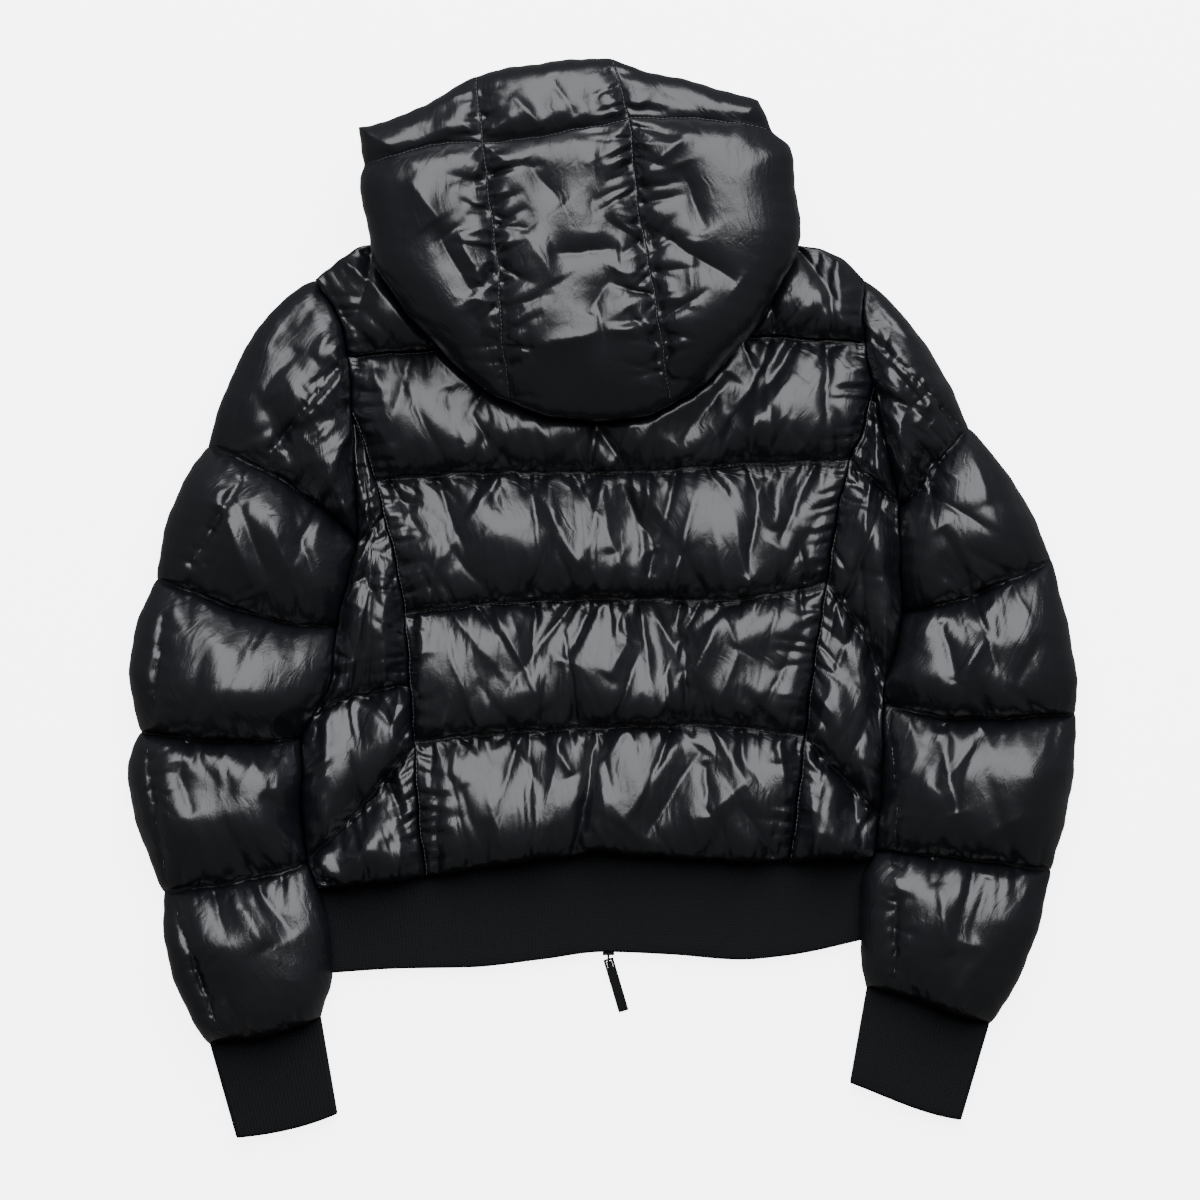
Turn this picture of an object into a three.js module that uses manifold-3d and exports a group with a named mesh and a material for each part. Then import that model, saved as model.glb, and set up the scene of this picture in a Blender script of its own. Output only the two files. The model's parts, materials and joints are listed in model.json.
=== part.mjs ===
// Short padded jacket with a hood, laid face down on a flat surface, in millimetres, +Z up.
// Plan positions are measured from the middle of the hem's lower edge: x to the right as seen
// from above, y towards the hood. The group is then moved so that its origin lies under its middle.
import * as THREE from 'three';
import { mergeVertices } from 'three/addons/utils/BufferGeometryUtils.js';
import Module from 'manifold-3d';

// Driving sizes
const SEAM_GAP = 0.3; // parting between sewn pieces
const ARM_GAP = { armhole: 0.8, loose: 2.2 }; // body to sleeve: along the armhole, and below the armpit
const ARMPIT = { y: 325, blend: 30 };
const LAYER_GAP = 0.4; // parting between a piece and what it lies on
const ZIP_X = 5; // the front zip's line under the back
const ZIP_TAPE_WIDTH = 11;
const ZIP_TAPE_THICK = 2;
const FRONT_THICK_AT_HEM = 6; // the hidden fronts are a wedge, thin at the hem
const FRONT_THICK_AT_NECK = 26;
const HEM_SEAM_Y = 60;
const NECK_Y = 550;
const BODY_SEAM_RISE = 12; // thickness of the back at a quilting seam
const BODY_PUFF_RISE = 22; // how far the padding stands above the seams
const BODY_PUFF_RADIUS = 34; // distance over which a puff rises from its seam
const HOOD_FLOOR = 40; // the padded back is pressed down to this height under the hood
const HOOD_LAYERS_TOP = 60; // top of the hood's hidden layers
const HOOD_TOP = 112;
const HOOD_EDGE_RISE = 9;
const HOOD_ROUND = 62; // distance over which the hood rises from its outline
const SLIT = 2; // the empty space inside a flat sleeve, cuff or hem
const RIB_PITCH = 2.8;
const RIB_DEPTH = 0.8;
const HEM_THICK = 10;
const CUFF_THICK = 11;
const CUFF_GAP = 0.9; // from the cuff seam's line to the cuff
const PUCKER_PITCH = 26; // gathers along the quilting
const PUCKER_DEPTH = 2.2;

const COLOURS = { nylon: 0x0b0b0d, rib: 0x14151b, tape: 0x101013, metal: 0x18181a };

// Upright seams in plan, from top to bottom: x for each y
const LEFT_ARM = [
  { x: -223, y: 524 }, { x: -208, y: 503 }, { x: -200, y: 478 }, { x: -196, y: 447 },
  { x: -194, y: 408 }, { x: -192, y: 361 }, { x: -190, y: 338 }, { x: -190, y: 322 }, { x: -198, y: 289 },
  { x: -206, y: 255 }, { x: -212, y: 209 }, { x: -233, y: 168 }, { x: -234, y: 119 },
  { x: -229, y: 71 }, { x: -215, y: 30 }, { x: -210, y: -13 }, { x: -219, y: -49 },
];
const RIGHT_ARM = [
  { x: 203, y: 525 }, { x: 203, y: 494 }, { x: 207, y: 463 }, { x: 214, y: 431 },
  { x: 222, y: 392 }, { x: 230, y: 351 }, { x: 232, y: 310 }, { x: 233, y: 266 },
  { x: 227, y: 232 }, { x: 218, y: 200 }, { x: 218, y: 162 }, { x: 217, y: 123 },
  { x: 212, y: 80 }, { x: 202, y: 53 }, { x: 201, y: 6 }, { x: 206, y: -27 },
];
const LEFT_PRINCESS = [
  { x: -195, y: 422 }, { x: -180, y: 381 }, { x: -170, y: 342 }, { x: -160, y: 303 },
  { x: -154, y: 266 }, { x: -150, y: 217 }, { x: -147, y: 170 }, { x: -142, y: 96 }, { x: -137, y: 60 },
];
const RIGHT_PRINCESS = [
  { x: 210, y: 443 }, { x: 203, y: 408 }, { x: 193, y: 385 }, { x: 183, y: 342 },
  { x: 175, y: 291 }, { x: 165, y: 229 }, { x: 158, y: 170 }, { x: 152, y: 119 }, { x: 146, y: 73 },
];
const HOOD_LEFT_EDGE = [
  { x: -189, y: 641 }, { x: -184, y: 613 }, { x: -188, y: 601 }, { x: -183, y: 572 },
  { x: -177, y: 539 }, { x: -158, y: 507 }, { x: -126, y: 470 }, { x: -91, y: 439 }, { x: -71, y: 428 },
];
const HOOD_RIGHT_EDGE = [
  { x: 121, y: 662 }, { x: 132, y: 639 }, { x: 146, y: 625 }, { x: 151, y: 583 },
  { x: 154, y: 560 }, { x: 139, y: 521 }, { x: 112, y: 478 }, { x: 73, y: 439 }, { x: 53, y: 427 },
];
const HOOD_LEFT_SEAM = [
  { x: -98, y: 679 }, { x: -92, y: 628 }, { x: -87, y: 583 }, { x: -80, y: 529 },
  { x: -78, y: 486 }, { x: -71, y: 428 },
];
const HOOD_RIGHT_SEAM = [
  { x: 8, y: 693 }, { x: 21, y: 642 }, { x: 27, y: 583 }, { x: 37, y: 529 },
  { x: 44, y: 486 }, { x: 53, y: 427 },
];

// Level seams and edges in plan, from left to right: y for each x
const SHOULDERS = [
  { x: -223, y: 524 }, { x: -204, y: 540 }, { x: -182, y: 551 }, { x: -2, y: 545 },
  { x: 154, y: 551 }, { x: 186, y: 541 }, { x: 203, y: 525 },
];
const HEM_SEAM = [
  { x: -240, y: 50 }, { x: -173, y: 55 }, { x: -134, y: 60 }, { x: -80, y: 68 },
  { x: -33, y: 74 }, { x: -2, y: 78 }, { x: 30, y: 75 }, { x: 76, y: 72 },
  { x: 123, y: 70 }, { x: 154, y: 72 }, { x: 220, y: 74 },
];
const HEM_EDGE = [
  { x: -220, y: -16 }, { x: -158, y: -12 }, { x: -103, y: -11 }, { x: -48, y: -5 },
  { x: 1, y: 1 }, { x: 53, y: -1 }, { x: 108, y: -5 }, { x: 143, y: -2 }, { x: 210, y: 12 },
];
const HOOD_TOP_EDGE = [
  { x: -189, y: 641 }, { x: -158, y: 649 }, { x: -126, y: 665 }, { x: -95, y: 682 },
  { x: -48, y: 691 }, { x: -2, y: 695 }, { x: 30, y: 686 }, { x: 76, y: 675 }, { x: 121, y: 662 },
];
const BAND_SEAM = [
  { x: -184, y: 613 }, { x: -158, y: 619 }, { x: -126, y: 628 }, { x: -80, y: 629 },
  { x: -17, y: 639 }, { x: 37, y: 648 }, { x: 76, y: 647 }, { x: 132, y: 639 },
];
const CROWN = [
  { x: -71, y: 428 }, { x: -44, y: 418 }, { x: -2, y: 414 }, { x: 30, y: 416 }, { x: 53, y: 427 },
];

// Quilting seams across the back: y at the left end, at each quarter and at the right end
const BACK_QUILTING = {
  yoke: { left: 465, quarter: 472, middle: 477, threeQuarter: 481, right: 476 },
  second: { left: 369, quarter: 375, middle: 375, threeQuarter: 381, right: 385 },
  third: { left: 266, quarter: 274, middle: 277, threeQuarter: 276, right: 289 },
  fourth: { left: 166, quarter: 173, middle: 177, threeQuarter: 179, right: 170 },
};

// Seams across the side panels: y at each end and how far the middle sags towards the hem
const LEFT_SIDE_SEAMS = [
  { seam: 'under the arm', left: 320, right: 340, sag: 0 },
  { seam: 'waist', left: 184, right: 208, sag: -8 },
  { seam: 'slant', left: 71, right: 162, sag: 2 },
];
const RIGHT_SIDE_SEAMS = [
  { seam: 'under the arm', left: 385, right: 351, sag: 0 },
  { seam: 'waist', left: 289, right: 213, sag: -4 },
  { seam: 'slant', left: 168, right: 108, sag: 0 },
];
const LEFT_SIDE_TOP = 412;
const RIGHT_SIDE_TOP = 430;

// Sleeves, a row for each seam round the sleeve and each puff between two seams: the outer edge,
// where the row meets the inner edge, and how far the seam sags towards the cuff near each edge
const LEFT_SLEEVE = [
  { row: 'armhole', outerX: -223, outerY: 524, innerY: 332, sagOut: 0, sagIn: 0, height: 40 },
  { row: 'cap', outerX: -271, outerY: 482, innerY: 327, sagOut: 0, sagIn: 0, height: 66 },
  { row: 'cap seam', outerX: -307, outerY: 395, innerY: 322, sagOut: -10, sagIn: -12, height: 32 },
  { row: 'upper arm', outerX: -335, outerY: 347, innerY: 289, sagOut: 0, sagIn: 0, height: 68 },
  { row: 'elbow seam', outerX: -346, outerY: 292, innerY: 255, sagOut: 4, sagIn: 16, height: 31 },
  { row: 'elbow', outerX: -367, outerY: 232, innerY: 209, sagOut: 0, sagIn: 0, height: 66 },
  { row: 'forearm seam', outerX: -358, outerY: 173, innerY: 168, sagOut: 7, sagIn: 8, height: 30 },
  { row: 'forearm', outerX: -368, outerY: 127, innerY: 119, sagOut: 0, sagIn: 0, height: 62 },
  { row: 'wrist seam', outerX: -341, outerY: 48, innerY: 71, sagOut: 3, sagIn: 6, height: 27 },
  { row: 'wrist', outerX: -335, outerY: -15, innerY: 3, sagOut: 0, sagIn: 0, height: 54 },
  { row: 'cuff seam', outerX: -306, outerY: -70, innerY: -49, sagOut: 3, sagIn: 9, height: 17 },
];
const RIGHT_SLEEVE = [
  { row: 'armhole', outerX: 203, outerY: 525, innerY: 355, sagOut: 0, sagIn: 0, height: 40 },
  { row: 'cap', outerX: 250, outerY: 477, innerY: 351, sagOut: 0, sagIn: 0, height: 66 },
  { row: 'cap seam', outerX: 285, outerY: 409, innerY: 347, sagOut: -3, sagIn: 4, height: 32 },
  { row: 'upper arm', outerX: 324, outerY: 361, innerY: 310, sagOut: 0, sagIn: 0, height: 68 },
  { row: 'elbow seam', outerX: 349, outerY: 307, innerY: 266, sagOut: 6, sagIn: 10, height: 31 },
  { row: 'elbow', outerX: 367, outerY: 232, innerY: 232, sagOut: 0, sagIn: 0, height: 66 },
  { row: 'forearm seam', outerX: 368, outerY: 187, innerY: 197, sagOut: 6, sagIn: 18, height: 30 },
  { row: 'forearm', outerX: 365, outerY: 127, innerY: 123, sagOut: 0, sagIn: 0, height: 62 },
  { row: 'wrist seam', outerX: 349, outerY: 65, innerY: 80, sagOut: -2, sagIn: -3, height: 27 },
  { row: 'wrist', outerX: 332, outerY: -2, innerY: 40, sagOut: 0, sagIn: 0, height: 54 },
  { row: 'cuff seam', outerX: 302, outerY: -55, innerY: -27, sagOut: 5, sagIn: -8, height: 17 },
];
const LEFT_CUFF_END = { outerX: -285, outerY: -144, innerX: -206, innerY: -125, sagOut: 4, sagIn: 5 };
const RIGHT_CUFF_END = { outerX: 280, outerY: -130, innerX: 193, innerY: -101, sagOut: 6, sagIn: 1 };

// Larger folds: a line in plan, how deep it sinks (or stands, if negative) and how wide it is
const SLEEVE_FOLDS = {
  left: [
    { fromX: -200, fromY: 461, toX: -264, toY: 381, depth: 14, width: 11 },
    { fromX: -279, fromY: 371, toX: -321, toY: 299, depth: 7, width: 9 },
    { fromX: -340, fromY: 262, toX: -347, toY: 186, depth: 7, width: 9 },
    { fromX: -352, fromY: 160, toX: -339, toY: 58, depth: 7, width: 9 },
  ],
  right: [
    { fromX: 208, fromY: 480, toX: 279, toY: 410, depth: 14, width: 11 },
    { fromX: 221, fromY: 200, toX: 229, toY: 70, depth: 7, width: 9 },
    { fromX: 228, fromY: 50, toX: 227, toY: -20, depth: 6, width: 9 },
  ],
};
const HOOD_FOLDS = [
  { fromX: -41, fromY: 542, toX: 14, toY: 546, depth: 9, width: 12 },
  { fromX: 34, fromY: 564, toX: 104, toY: 520, depth: 8, width: 12 },
  { fromX: -54, fromY: 472, toX: 45, toY: 487, depth: -7, width: 14 },
  { fromX: -132, fromY: 565, toX: -98, toY: 510, depth: 8, width: 13 },
];

const { lerp, clamp, smoothstep } = THREE.MathUtils;
const distance = (a, b) => Math.hypot(a[0] - b[0], a[1] - b[1]);
const evenSteps = (count) => Array.from({ length: count + 1 }, (_, i) => i / count);
const mix = (a, b, t) => a.map((value, i) => lerp(value, b[i], t));

// A smooth curve through the rows of a table, as one coordinate against the other
function through(rows, from, to) {
  const sorted = [...rows].sort((a, b) => a[from] - b[from]);
  const steps = sorted.slice(1).map((row, i) => (row[to] - sorted[i][to]) / (row[from] - sorted[i][from]));
  const slopes = sorted.map((row, i) => {
    const before = steps[Math.max(i - 1, 0)];
    const after = steps[Math.min(i, steps.length - 1)];
    return before * after > 0 ? (2 * before * after) / (before + after) : 0;
  });
  return (value) => {
    let i = 0;
    while (i < sorted.length - 2 && value > sorted[i + 1][from]) i += 1;
    const span = sorted[i + 1][from] - sorted[i][from];
    const t = (value - sorted[i][from]) / span;
    const start = (1 + 2 * t) * (1 - t) ** 2 * sorted[i][to] + t * (1 - t) ** 2 * span * slopes[i];
    const end = t * t * (3 - 2 * t) * sorted[i + 1][to] - t * t * (1 - t) * span * slopes[i + 1];
    return start + end;
  };
}
const upright = (rows) => through(rows, 'y', 'x');
const level = (rows) => through(rows, 'x', 'y');

const leftArm = upright(LEFT_ARM);
const rightArm = upright(RIGHT_ARM);
const armGap = (y) => lerp(ARM_GAP.loose, ARM_GAP.armhole, smoothstep(y, ARMPIT.y - ARMPIT.blend, ARMPIT.y));
const bodyLeft = (y) => leftArm(y) + armGap(y);
const bodyRight = (y) => rightArm(y) - armGap(y);
const leftPrincess = upright(LEFT_PRINCESS);
const rightPrincess = upright(RIGHT_PRINCESS);
const hoodLeftEdge = upright(HOOD_LEFT_EDGE);
const hoodRightEdge = upright(HOOD_RIGHT_EDGE);
const hoodLeftSeam = upright(HOOD_LEFT_SEAM);
const hoodRightSeam = upright(HOOD_RIGHT_SEAM);
const shoulders = level(SHOULDERS);
const hemSeam = level(HEM_SEAM);
const hemEdge = level(HEM_EDGE);
const hoodTopEdge = level(HOOD_TOP_EDGE);
const bandSeam = level(BAND_SEAM);
const crown = level(CROWN);

// Curves as functions of a fraction from 0 to 1
const downSeam = (seam, top, bottom) => (t) => {
  const y = lerp(top, bottom, t);
  return [seam(y), y];
};
const alongSeam = (seam, left, right) => (t) => {
  const x = lerp(left, right, t);
  return [x, seam(x)];
};
function saggingLine(start, end, sagStart, sagEnd) {
  const length = distance(start, end);
  const normal = [(end[1] - start[1]) / length, -(end[0] - start[0]) / length];
  const towardsHem = normal[1] < 0 ? 1 : -1;
  return (t) => {
    const sag = towardsHem * (sagStart * 3 * t * (1 - t) ** 2 + sagEnd * 3 * t * t * (1 - t));
    return [lerp(start[0], end[0], t) + normal[0] * sag, lerp(start[1], end[1], t) + normal[1] * sag];
  };
}
const arcThrough = (start, middle, end) => (t) => {
  const bulge = 4 * t * (1 - t);
  return [0, 1].map((i) => lerp(start[i], end[i], t) + bulge * (middle[i] - (start[i] + end[i]) / 2));
};

// The patch of plan between four curves that meet at their ends
function patch(top, bottom, left, right) {
  const corners = [top(0), top(1), bottom(0), bottom(1)];
  return (u, v) => [0, 1].map((i) => {
    const across = lerp(top(u)[i], bottom(u)[i], v) + lerp(left(v)[i], right(v)[i], u);
    return across - lerp(lerp(corners[0][i], corners[1][i], u), lerp(corners[2][i], corners[3][i], u), v);
  });
}

// A patch point drawn in from the patch's sides, and at an outer seam from its ends, by half a parting
function partedPoint(area, u, v, atOuterSeam, gap = SEAM_GAP / 2) {
  const part = (from, to) => Math.min(gap / Math.max(distance(from, to), 1), 0.4);
  const partU = part(area(0, v), area(1, v));
  const partV = atOuterSeam ? part(area(u, 0), area(u, 1)) : 0;
  return area(clamp(u, partU, 1 - partU), clamp(v, partV, 1 - partV));
}

// Heights
const liningHeight = (y) => lerp(
  FRONT_THICK_AT_HEM,
  FRONT_THICK_AT_NECK,
  (y - HEM_SEAM_Y) / (NECK_Y - HEM_SEAM_Y),
);
const roundRise = (reach) => Math.sqrt(1 - (1 - clamp(reach, 0, 1)) ** 2);

function distanceToLine(point, fold) {
  const along = [fold.toX - fold.fromX, fold.toY - fold.fromY];
  const from = [point[0] - fold.fromX, point[1] - fold.fromY];
  const t = clamp((from[0] * along[0] + from[1] * along[1]) / (along[0] ** 2 + along[1] ** 2), 0, 1);
  return Math.hypot(from[0] - along[0] * t, from[1] - along[1] * t);
}
const foldDepth = (point, folds) => folds.reduce(
  (sum, fold) => sum + fold.depth * Math.exp(-((distanceToLine(point, fold) / fold.width) ** 2)),
  0,
);

const hoodOutline = [
  ...Array.from({ length: 30 }, (_, i) => downSeam(hoodLeftEdge, 428, 641)(i / 30)),
  ...Array.from({ length: 30 }, (_, i) => alongSeam(hoodTopEdge, -189, 121)(i / 30)),
  ...Array.from({ length: 30 }, (_, i) => downSeam(hoodRightEdge, 662, 427)(i / 30)),
  ...Array.from({ length: 12 }, (_, i) => alongSeam(crown, 53, -71)(i / 12)),
];

// Distance to the hood's outline, positive inside
function hoodDepth(point) {
  let nearest = Infinity;
  let inside = false;
  hoodOutline.forEach((a, i) => {
    const b = hoodOutline[(i + 1) % hoodOutline.length];
    const edge = { fromX: a[0], fromY: a[1], toX: b[0], toY: b[1] };
    nearest = Math.min(nearest, distanceToLine(point, edge));
    const crosses = (a[1] > point[1]) !== (b[1] > point[1]);
    if (crosses && point[0] < a[0] + ((point[1] - a[1]) / (b[1] - a[1])) * (b[0] - a[0])) inside = !inside;
  });
  return inside ? nearest : -nearest;
}

// Top of the padded back: puffs between seams, gathers along them, pressed flat under the hood
function backHeight(point, toSide, toQuilting) {
  const puff = roundRise(toSide / BODY_PUFF_RADIUS) * roundRise(toQuilting / BODY_PUFF_RADIUS) ** 0.8;
  const gather = Math.exp(-(((toQuilting - 9) / 9) ** 2)) * clamp(toSide / 12, 0, 1);
  const pucker = PUCKER_DEPTH * gather * Math.sin((2 * Math.PI * point[0]) / PUCKER_PITCH + point[1] * 0.31);
  const free = liningHeight(point[1]) + BODY_SEAM_RISE + BODY_PUFF_RISE * puff + pucker;
  const pressed = HOOD_FLOOR - LAYER_GAP;
  const fromHood = -hoodDepth(point);
  return fromHood > 45 ? free : lerp(Math.min(free, pressed), free, smoothstep(fromHood, 13, 34));
}

function hoodHeight(point, seams) {
  const rise = roundRise(hoodDepth(point) / HOOD_ROUND);
  const toSeam = Math.min(...seams.map((seam) => Math.abs(seam(point))));
  const seamDip = 9 * rise * Math.exp(-((toSeam / 9) ** 2));
  const height = lerp(HOOD_LAYERS_TOP + HOOD_EDGE_RISE, HOOD_TOP, rise) - seamDip;
  return Math.max(height - rise * foldDepth(point, HOOD_FOLDS), HOOD_LAYERS_TOP + HOOD_EDGE_RISE);
}

// Closed solids from points and triangles
function orient(points, triangles) {
  const volume = triangles.reduce((sum, [a, b, c]) => {
    const cross = new THREE.Vector3(...points[b]).cross(new THREE.Vector3(...points[c]));
    return sum + new THREE.Vector3(...points[a]).dot(cross);
  }, 0);
  return volume > 0 ? triangles : triangles.map(([a, b, c]) => [a, c, b]);
}
function solidGeometry(points, triangles) {
  const geometry = new THREE.BufferGeometry();
  geometry.setAttribute('position', new THREE.Float32BufferAttribute(points.flat(), 3));
  geometry.setIndex(orient(points, triangles).flat());
  return geometry;
}
function triangulate(loop, holes = []) {
  const vector = ([x, y]) => new THREE.Vector2(x, y);
  return THREE.ShapeUtils.triangulateShape(loop.map(vector), holes.map((hole) => hole.map(vector)));
}

// A padded panel: a grid of top points over a flat or sloping base
function paddedPanel(grid, baseHeight) {
  const rows = grid.length;
  const columns = grid[0].length;
  const points = grid.flat();
  const id = (row, column) => row * columns + column;
  const triangles = [];
  for (let row = 0; row < rows - 1; row += 1) {
    for (let column = 0; column < columns - 1; column += 1) {
      const corners = [id(row, column), id(row, column + 1), id(row + 1, column + 1), id(row + 1, column)];
      triangles.push([corners[0], corners[1], corners[2]], [corners[0], corners[2], corners[3]]);
    }
  }
  const rim = [];
  for (let column = 0; column < columns; column += 1) rim.push(id(0, column));
  for (let row = 1; row < rows; row += 1) rim.push(id(row, columns - 1));
  for (let column = columns - 2; column >= 0; column -= 1) rim.push(id(rows - 1, column));
  for (let row = rows - 2; row > 0; row -= 1) rim.push(id(row, 0));
  const base = points.length;
  rim.forEach((top) => points.push([points[top][0], points[top][1], baseHeight(points[top][1])]));
  rim.forEach((top, i) => {
    const next = (i + 1) % rim.length;
    triangles.push([top, base + i, base + next], [top, base + next, rim[next]]);
  });
  const plan = rim.map((top) => points[top].slice(0, 2));
  const clockwise = THREE.ShapeUtils.area(plan.map(([x, y]) => new THREE.Vector2(x, y))) < 0;
  triangulate(plan).forEach(([a, b, c]) => {
    const flipped = clockwise ? [base + a, base + b, base + c] : [base + a, base + c, base + b];
    triangles.push(flipped);
  });
  return solidGeometry(points, consistent(triangles));
}

// Triangles turned so that neighbours agree, starting from the first
function consistent(triangles) {
  const edges = new Map();
  const key = (a, b) => (a < b ? `${a}_${b}` : `${b}_${a}`);
  triangles.forEach((triangle, i) => triangle.forEach((a, corner) => {
    const name = key(a, triangle[(corner + 1) % 3]);
    edges.set(name, [...(edges.get(name) ?? []), i]);
  }));
  const turned = triangles.map((triangle) => [...triangle]);
  const seen = new Set([0]);
  const queue = [0];
  while (queue.length > 0) {
    const current = queue.pop();
    for (let corner = 0; corner < 3; corner += 1) {
      const a = turned[current][corner];
      const b = turned[current][(corner + 1) % 3];
      const other = edges.get(key(a, b)).find((i) => i !== current);
      if (!seen.has(other)) {
        const triangle = turned[other];
        const sameWay = triangle.some((from, i) => from === a && triangle[(i + 1) % 3] === b);
        if (sameWay) triangle.reverse();
        seen.add(other);
        queue.push(other);
      }
    }
  }
  return turned;
}

// A slab through closed loops of points, one above the other, with flat ends
function slab(loops, plan) {
  const size = plan.length;
  const triangles = [];
  loops.slice(1).forEach((_, level_) => {
    for (let i = 0; i < size; i += 1) {
      const a = level_ * size + i;
      const b = level_ * size + ((i + 1) % size);
      triangles.push([a, b, b + size], [a, b + size, a + size]);
    }
  });
  const end = (loops.length - 1) * size;
  triangulate(plan).forEach((triangle) => {
    triangles.push(triangle, triangle.map((i) => i + end));
  });
  return solidGeometry(loops.flat(), consistent(triangles));
}

// Triangles between two lines of points; each point has an index and a place along its line
function stripBetween(first, second) {
  const triangles = [];
  let i = 0;
  let j = 0;
  while (i < first.length - 1 || j < second.length - 1) {
    const stepFirst = j === second.length - 1 || (i < first.length - 1 && first[i + 1].at <= second[j + 1].at);
    if (stepFirst) {
      triangles.push([first[i].index, first[i + 1].index, second[j].index]);
      i += 1;
    } else {
      triangles.push([first[i].index, second[j + 1].index, second[j].index]);
      j += 1;
    }
  }
  return triangles;
}

// A wall that runs through sections. Each section has an outer and an inner line of points with
// places along them. Closed lines make a tube; open ones make a band whose ends join at its edges
function wallThrough(outer, inner, outerPlaces, innerPlaces, closed) {
  const points = [...outer.flat(), ...inner.flat()];
  const innerStart = outer.length * outerPlaces.length;
  const triangles = [];
  const side = (sections, start, size) => {
    const last = closed ? size : size - 1;
    for (let section = 0; section < sections - 1; section += 1) {
      for (let i = 0; i < last; i += 1) {
        const a = start + section * size + i;
        const b = start + section * size + ((i + 1) % size);
        triangles.push([a, b, b + size], [a, b + size, a + size]);
      }
    }
  };
  side(outer.length, 0, outerPlaces.length);
  side(inner.length, innerStart, innerPlaces.length);
  const indexed = (places, start) => {
    const line = places.map((at, i) => ({ index: start + i, at }));
    return closed ? [...line, { index: start, at: places[0] + 2 }] : line;
  };
  const sectionStart = (section, innerSection) => [
    indexed(outerPlaces, section * outerPlaces.length),
    indexed(innerPlaces, innerStart + innerSection * innerPlaces.length),
  ];
  triangles.push(...stripBetween(...sectionStart(0, 0)));
  triangles.push(...stripBetween(...sectionStart(outer.length - 1, inner.length - 1)));
  if (!closed) {
    const outerLine = (end) => outer.map((_, section) => ({
      index: section * outerPlaces.length + end * (outerPlaces.length - 1), at: section / (outer.length - 1),
    }));
    const innerLine = (end) => inner.map((_, section) => ({
      index: innerStart + section * innerPlaces.length + end * (innerPlaces.length - 1),
      at: section / (inner.length - 1),
    }));
    [0, 1].forEach((end) => triangles.push(...stripBetween(outerLine(end), innerLine(end))));
  }
  return solidGeometry(points, consistent(triangles));
}

// Rows of padding: steps that are closer together near the seams
const ROW_STEPS = [0, 0.09, 0.25, 0.5, 0.75, 0.91, 1];

function quiltedGrid(areas, columns, heightAt) {
  const grid = [];
  areas.forEach((area, index) => {
    ROW_STEPS.forEach((v, step) => {
      if (index > 0 && step === 0) return;
      const atOuterSeam = (index === 0 && v === 0) || (index === areas.length - 1 && v === 1);
      const row = [];
      for (let column = 0; column <= columns; column += 1) {
        const u = column / columns;
        const point = partedPoint(area, u, v, atOuterSeam);
        const toSide = Math.min(u, 1 - u) * distance(area(0, v), area(1, v));
        const toQuilting = Math.min(v, 1 - v) * distance(area(u, 0), area(u, 1));
        row.push([...point, heightAt(point, toSide, toQuilting)]);
      }
      grid.push(row);
    });
  });
  return grid;
}

const backLeft = (y) => (y > LEFT_PRINCESS[0].y ? bodyLeft(y) : Math.max(leftPrincess(y), bodyLeft(y)));
const backRight = (y) => (y > RIGHT_PRINCESS[0].y ? bodyRight(y) : Math.min(rightPrincess(y), bodyRight(y)));

function backSeam(name) {
  const row = BACK_QUILTING[name];
  const left = backLeft(row.left);
  const right = backRight(row.right);
  const at = (fraction) => lerp(left, right, fraction);
  const seam = level([
    { x: left, y: row.left }, { x: at(0.25), y: row.quarter }, { x: at(0.5), y: row.middle },
    { x: at(0.75), y: row.threeQuarter }, { x: right, y: row.right },
  ]);
  return { line: alongSeam(seam, left, right), left: row.left, right: row.right };
}

function backYoke() {
  const yoke = backSeam('yoke');
  const top = alongSeam(shoulders, bodyLeft(LEFT_ARM[0].y), bodyRight(RIGHT_ARM[0].y));
  const left = downSeam(bodyLeft, top(0)[1], yoke.left);
  const right = downSeam(bodyRight, top(1)[1], yoke.right);
  return paddedPanel(quiltedGrid([patch(top, yoke.line, left, right)], 40, backHeight), backBase);
}
const backBase = (y) => liningHeight(y) + LAYER_GAP;

function backCentre() {
  const seams = ['yoke', 'second', 'third', 'fourth'].map(backSeam);
  const hemLeftY = LEFT_PRINCESS.at(-1).y;
  const hemRightY = RIGHT_PRINCESS.at(-1).y;
  const hemLine = alongSeam(hemSeam, leftPrincess(hemLeftY), rightPrincess(hemRightY));
  seams.push({ line: hemLine, left: hemLine(0)[1], right: hemLine(1)[1] });
  const areas = seams.slice(0, -1).map((seam, i) => patch(
    seam.line,
    seams[i + 1].line,
    downSeam(backLeft, seam.left, seams[i + 1].left),
    downSeam(backRight, seam.right, seams[i + 1].right),
  ));
  return paddedPanel(quiltedGrid(areas, 52, backHeight), backBase);
}

function sidePanel(leftSeam, rightSeam, topY, seams) {
  const line = (row) => saggingLine([leftSeam(row.left), row.left], [rightSeam(row.right), row.right], row.sag, row.sag);
  const hemLeftY = hemSeam(leftSeam(HEM_SEAM_Y));
  const hemRightY = hemSeam(rightSeam(HEM_SEAM_Y));
  const rows = [{ left: topY, right: topY, sag: 0 }, ...seams, { left: hemLeftY, right: hemRightY, sag: 0 }];
  const lines = rows.map(line);
  lines[lines.length - 1] = alongSeam(hemSeam, leftSeam(hemLeftY), rightSeam(hemRightY));
  const areas = rows.slice(0, -1).map((row, i) => patch(
    lines[i],
    lines[i + 1],
    downSeam(leftSeam, row.left, rows[i + 1].left),
    downSeam(rightSeam, row.right, rows[i + 1].right),
  ));
  return paddedPanel(quiltedGrid(areas, 10, backHeight), backBase);
}

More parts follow.
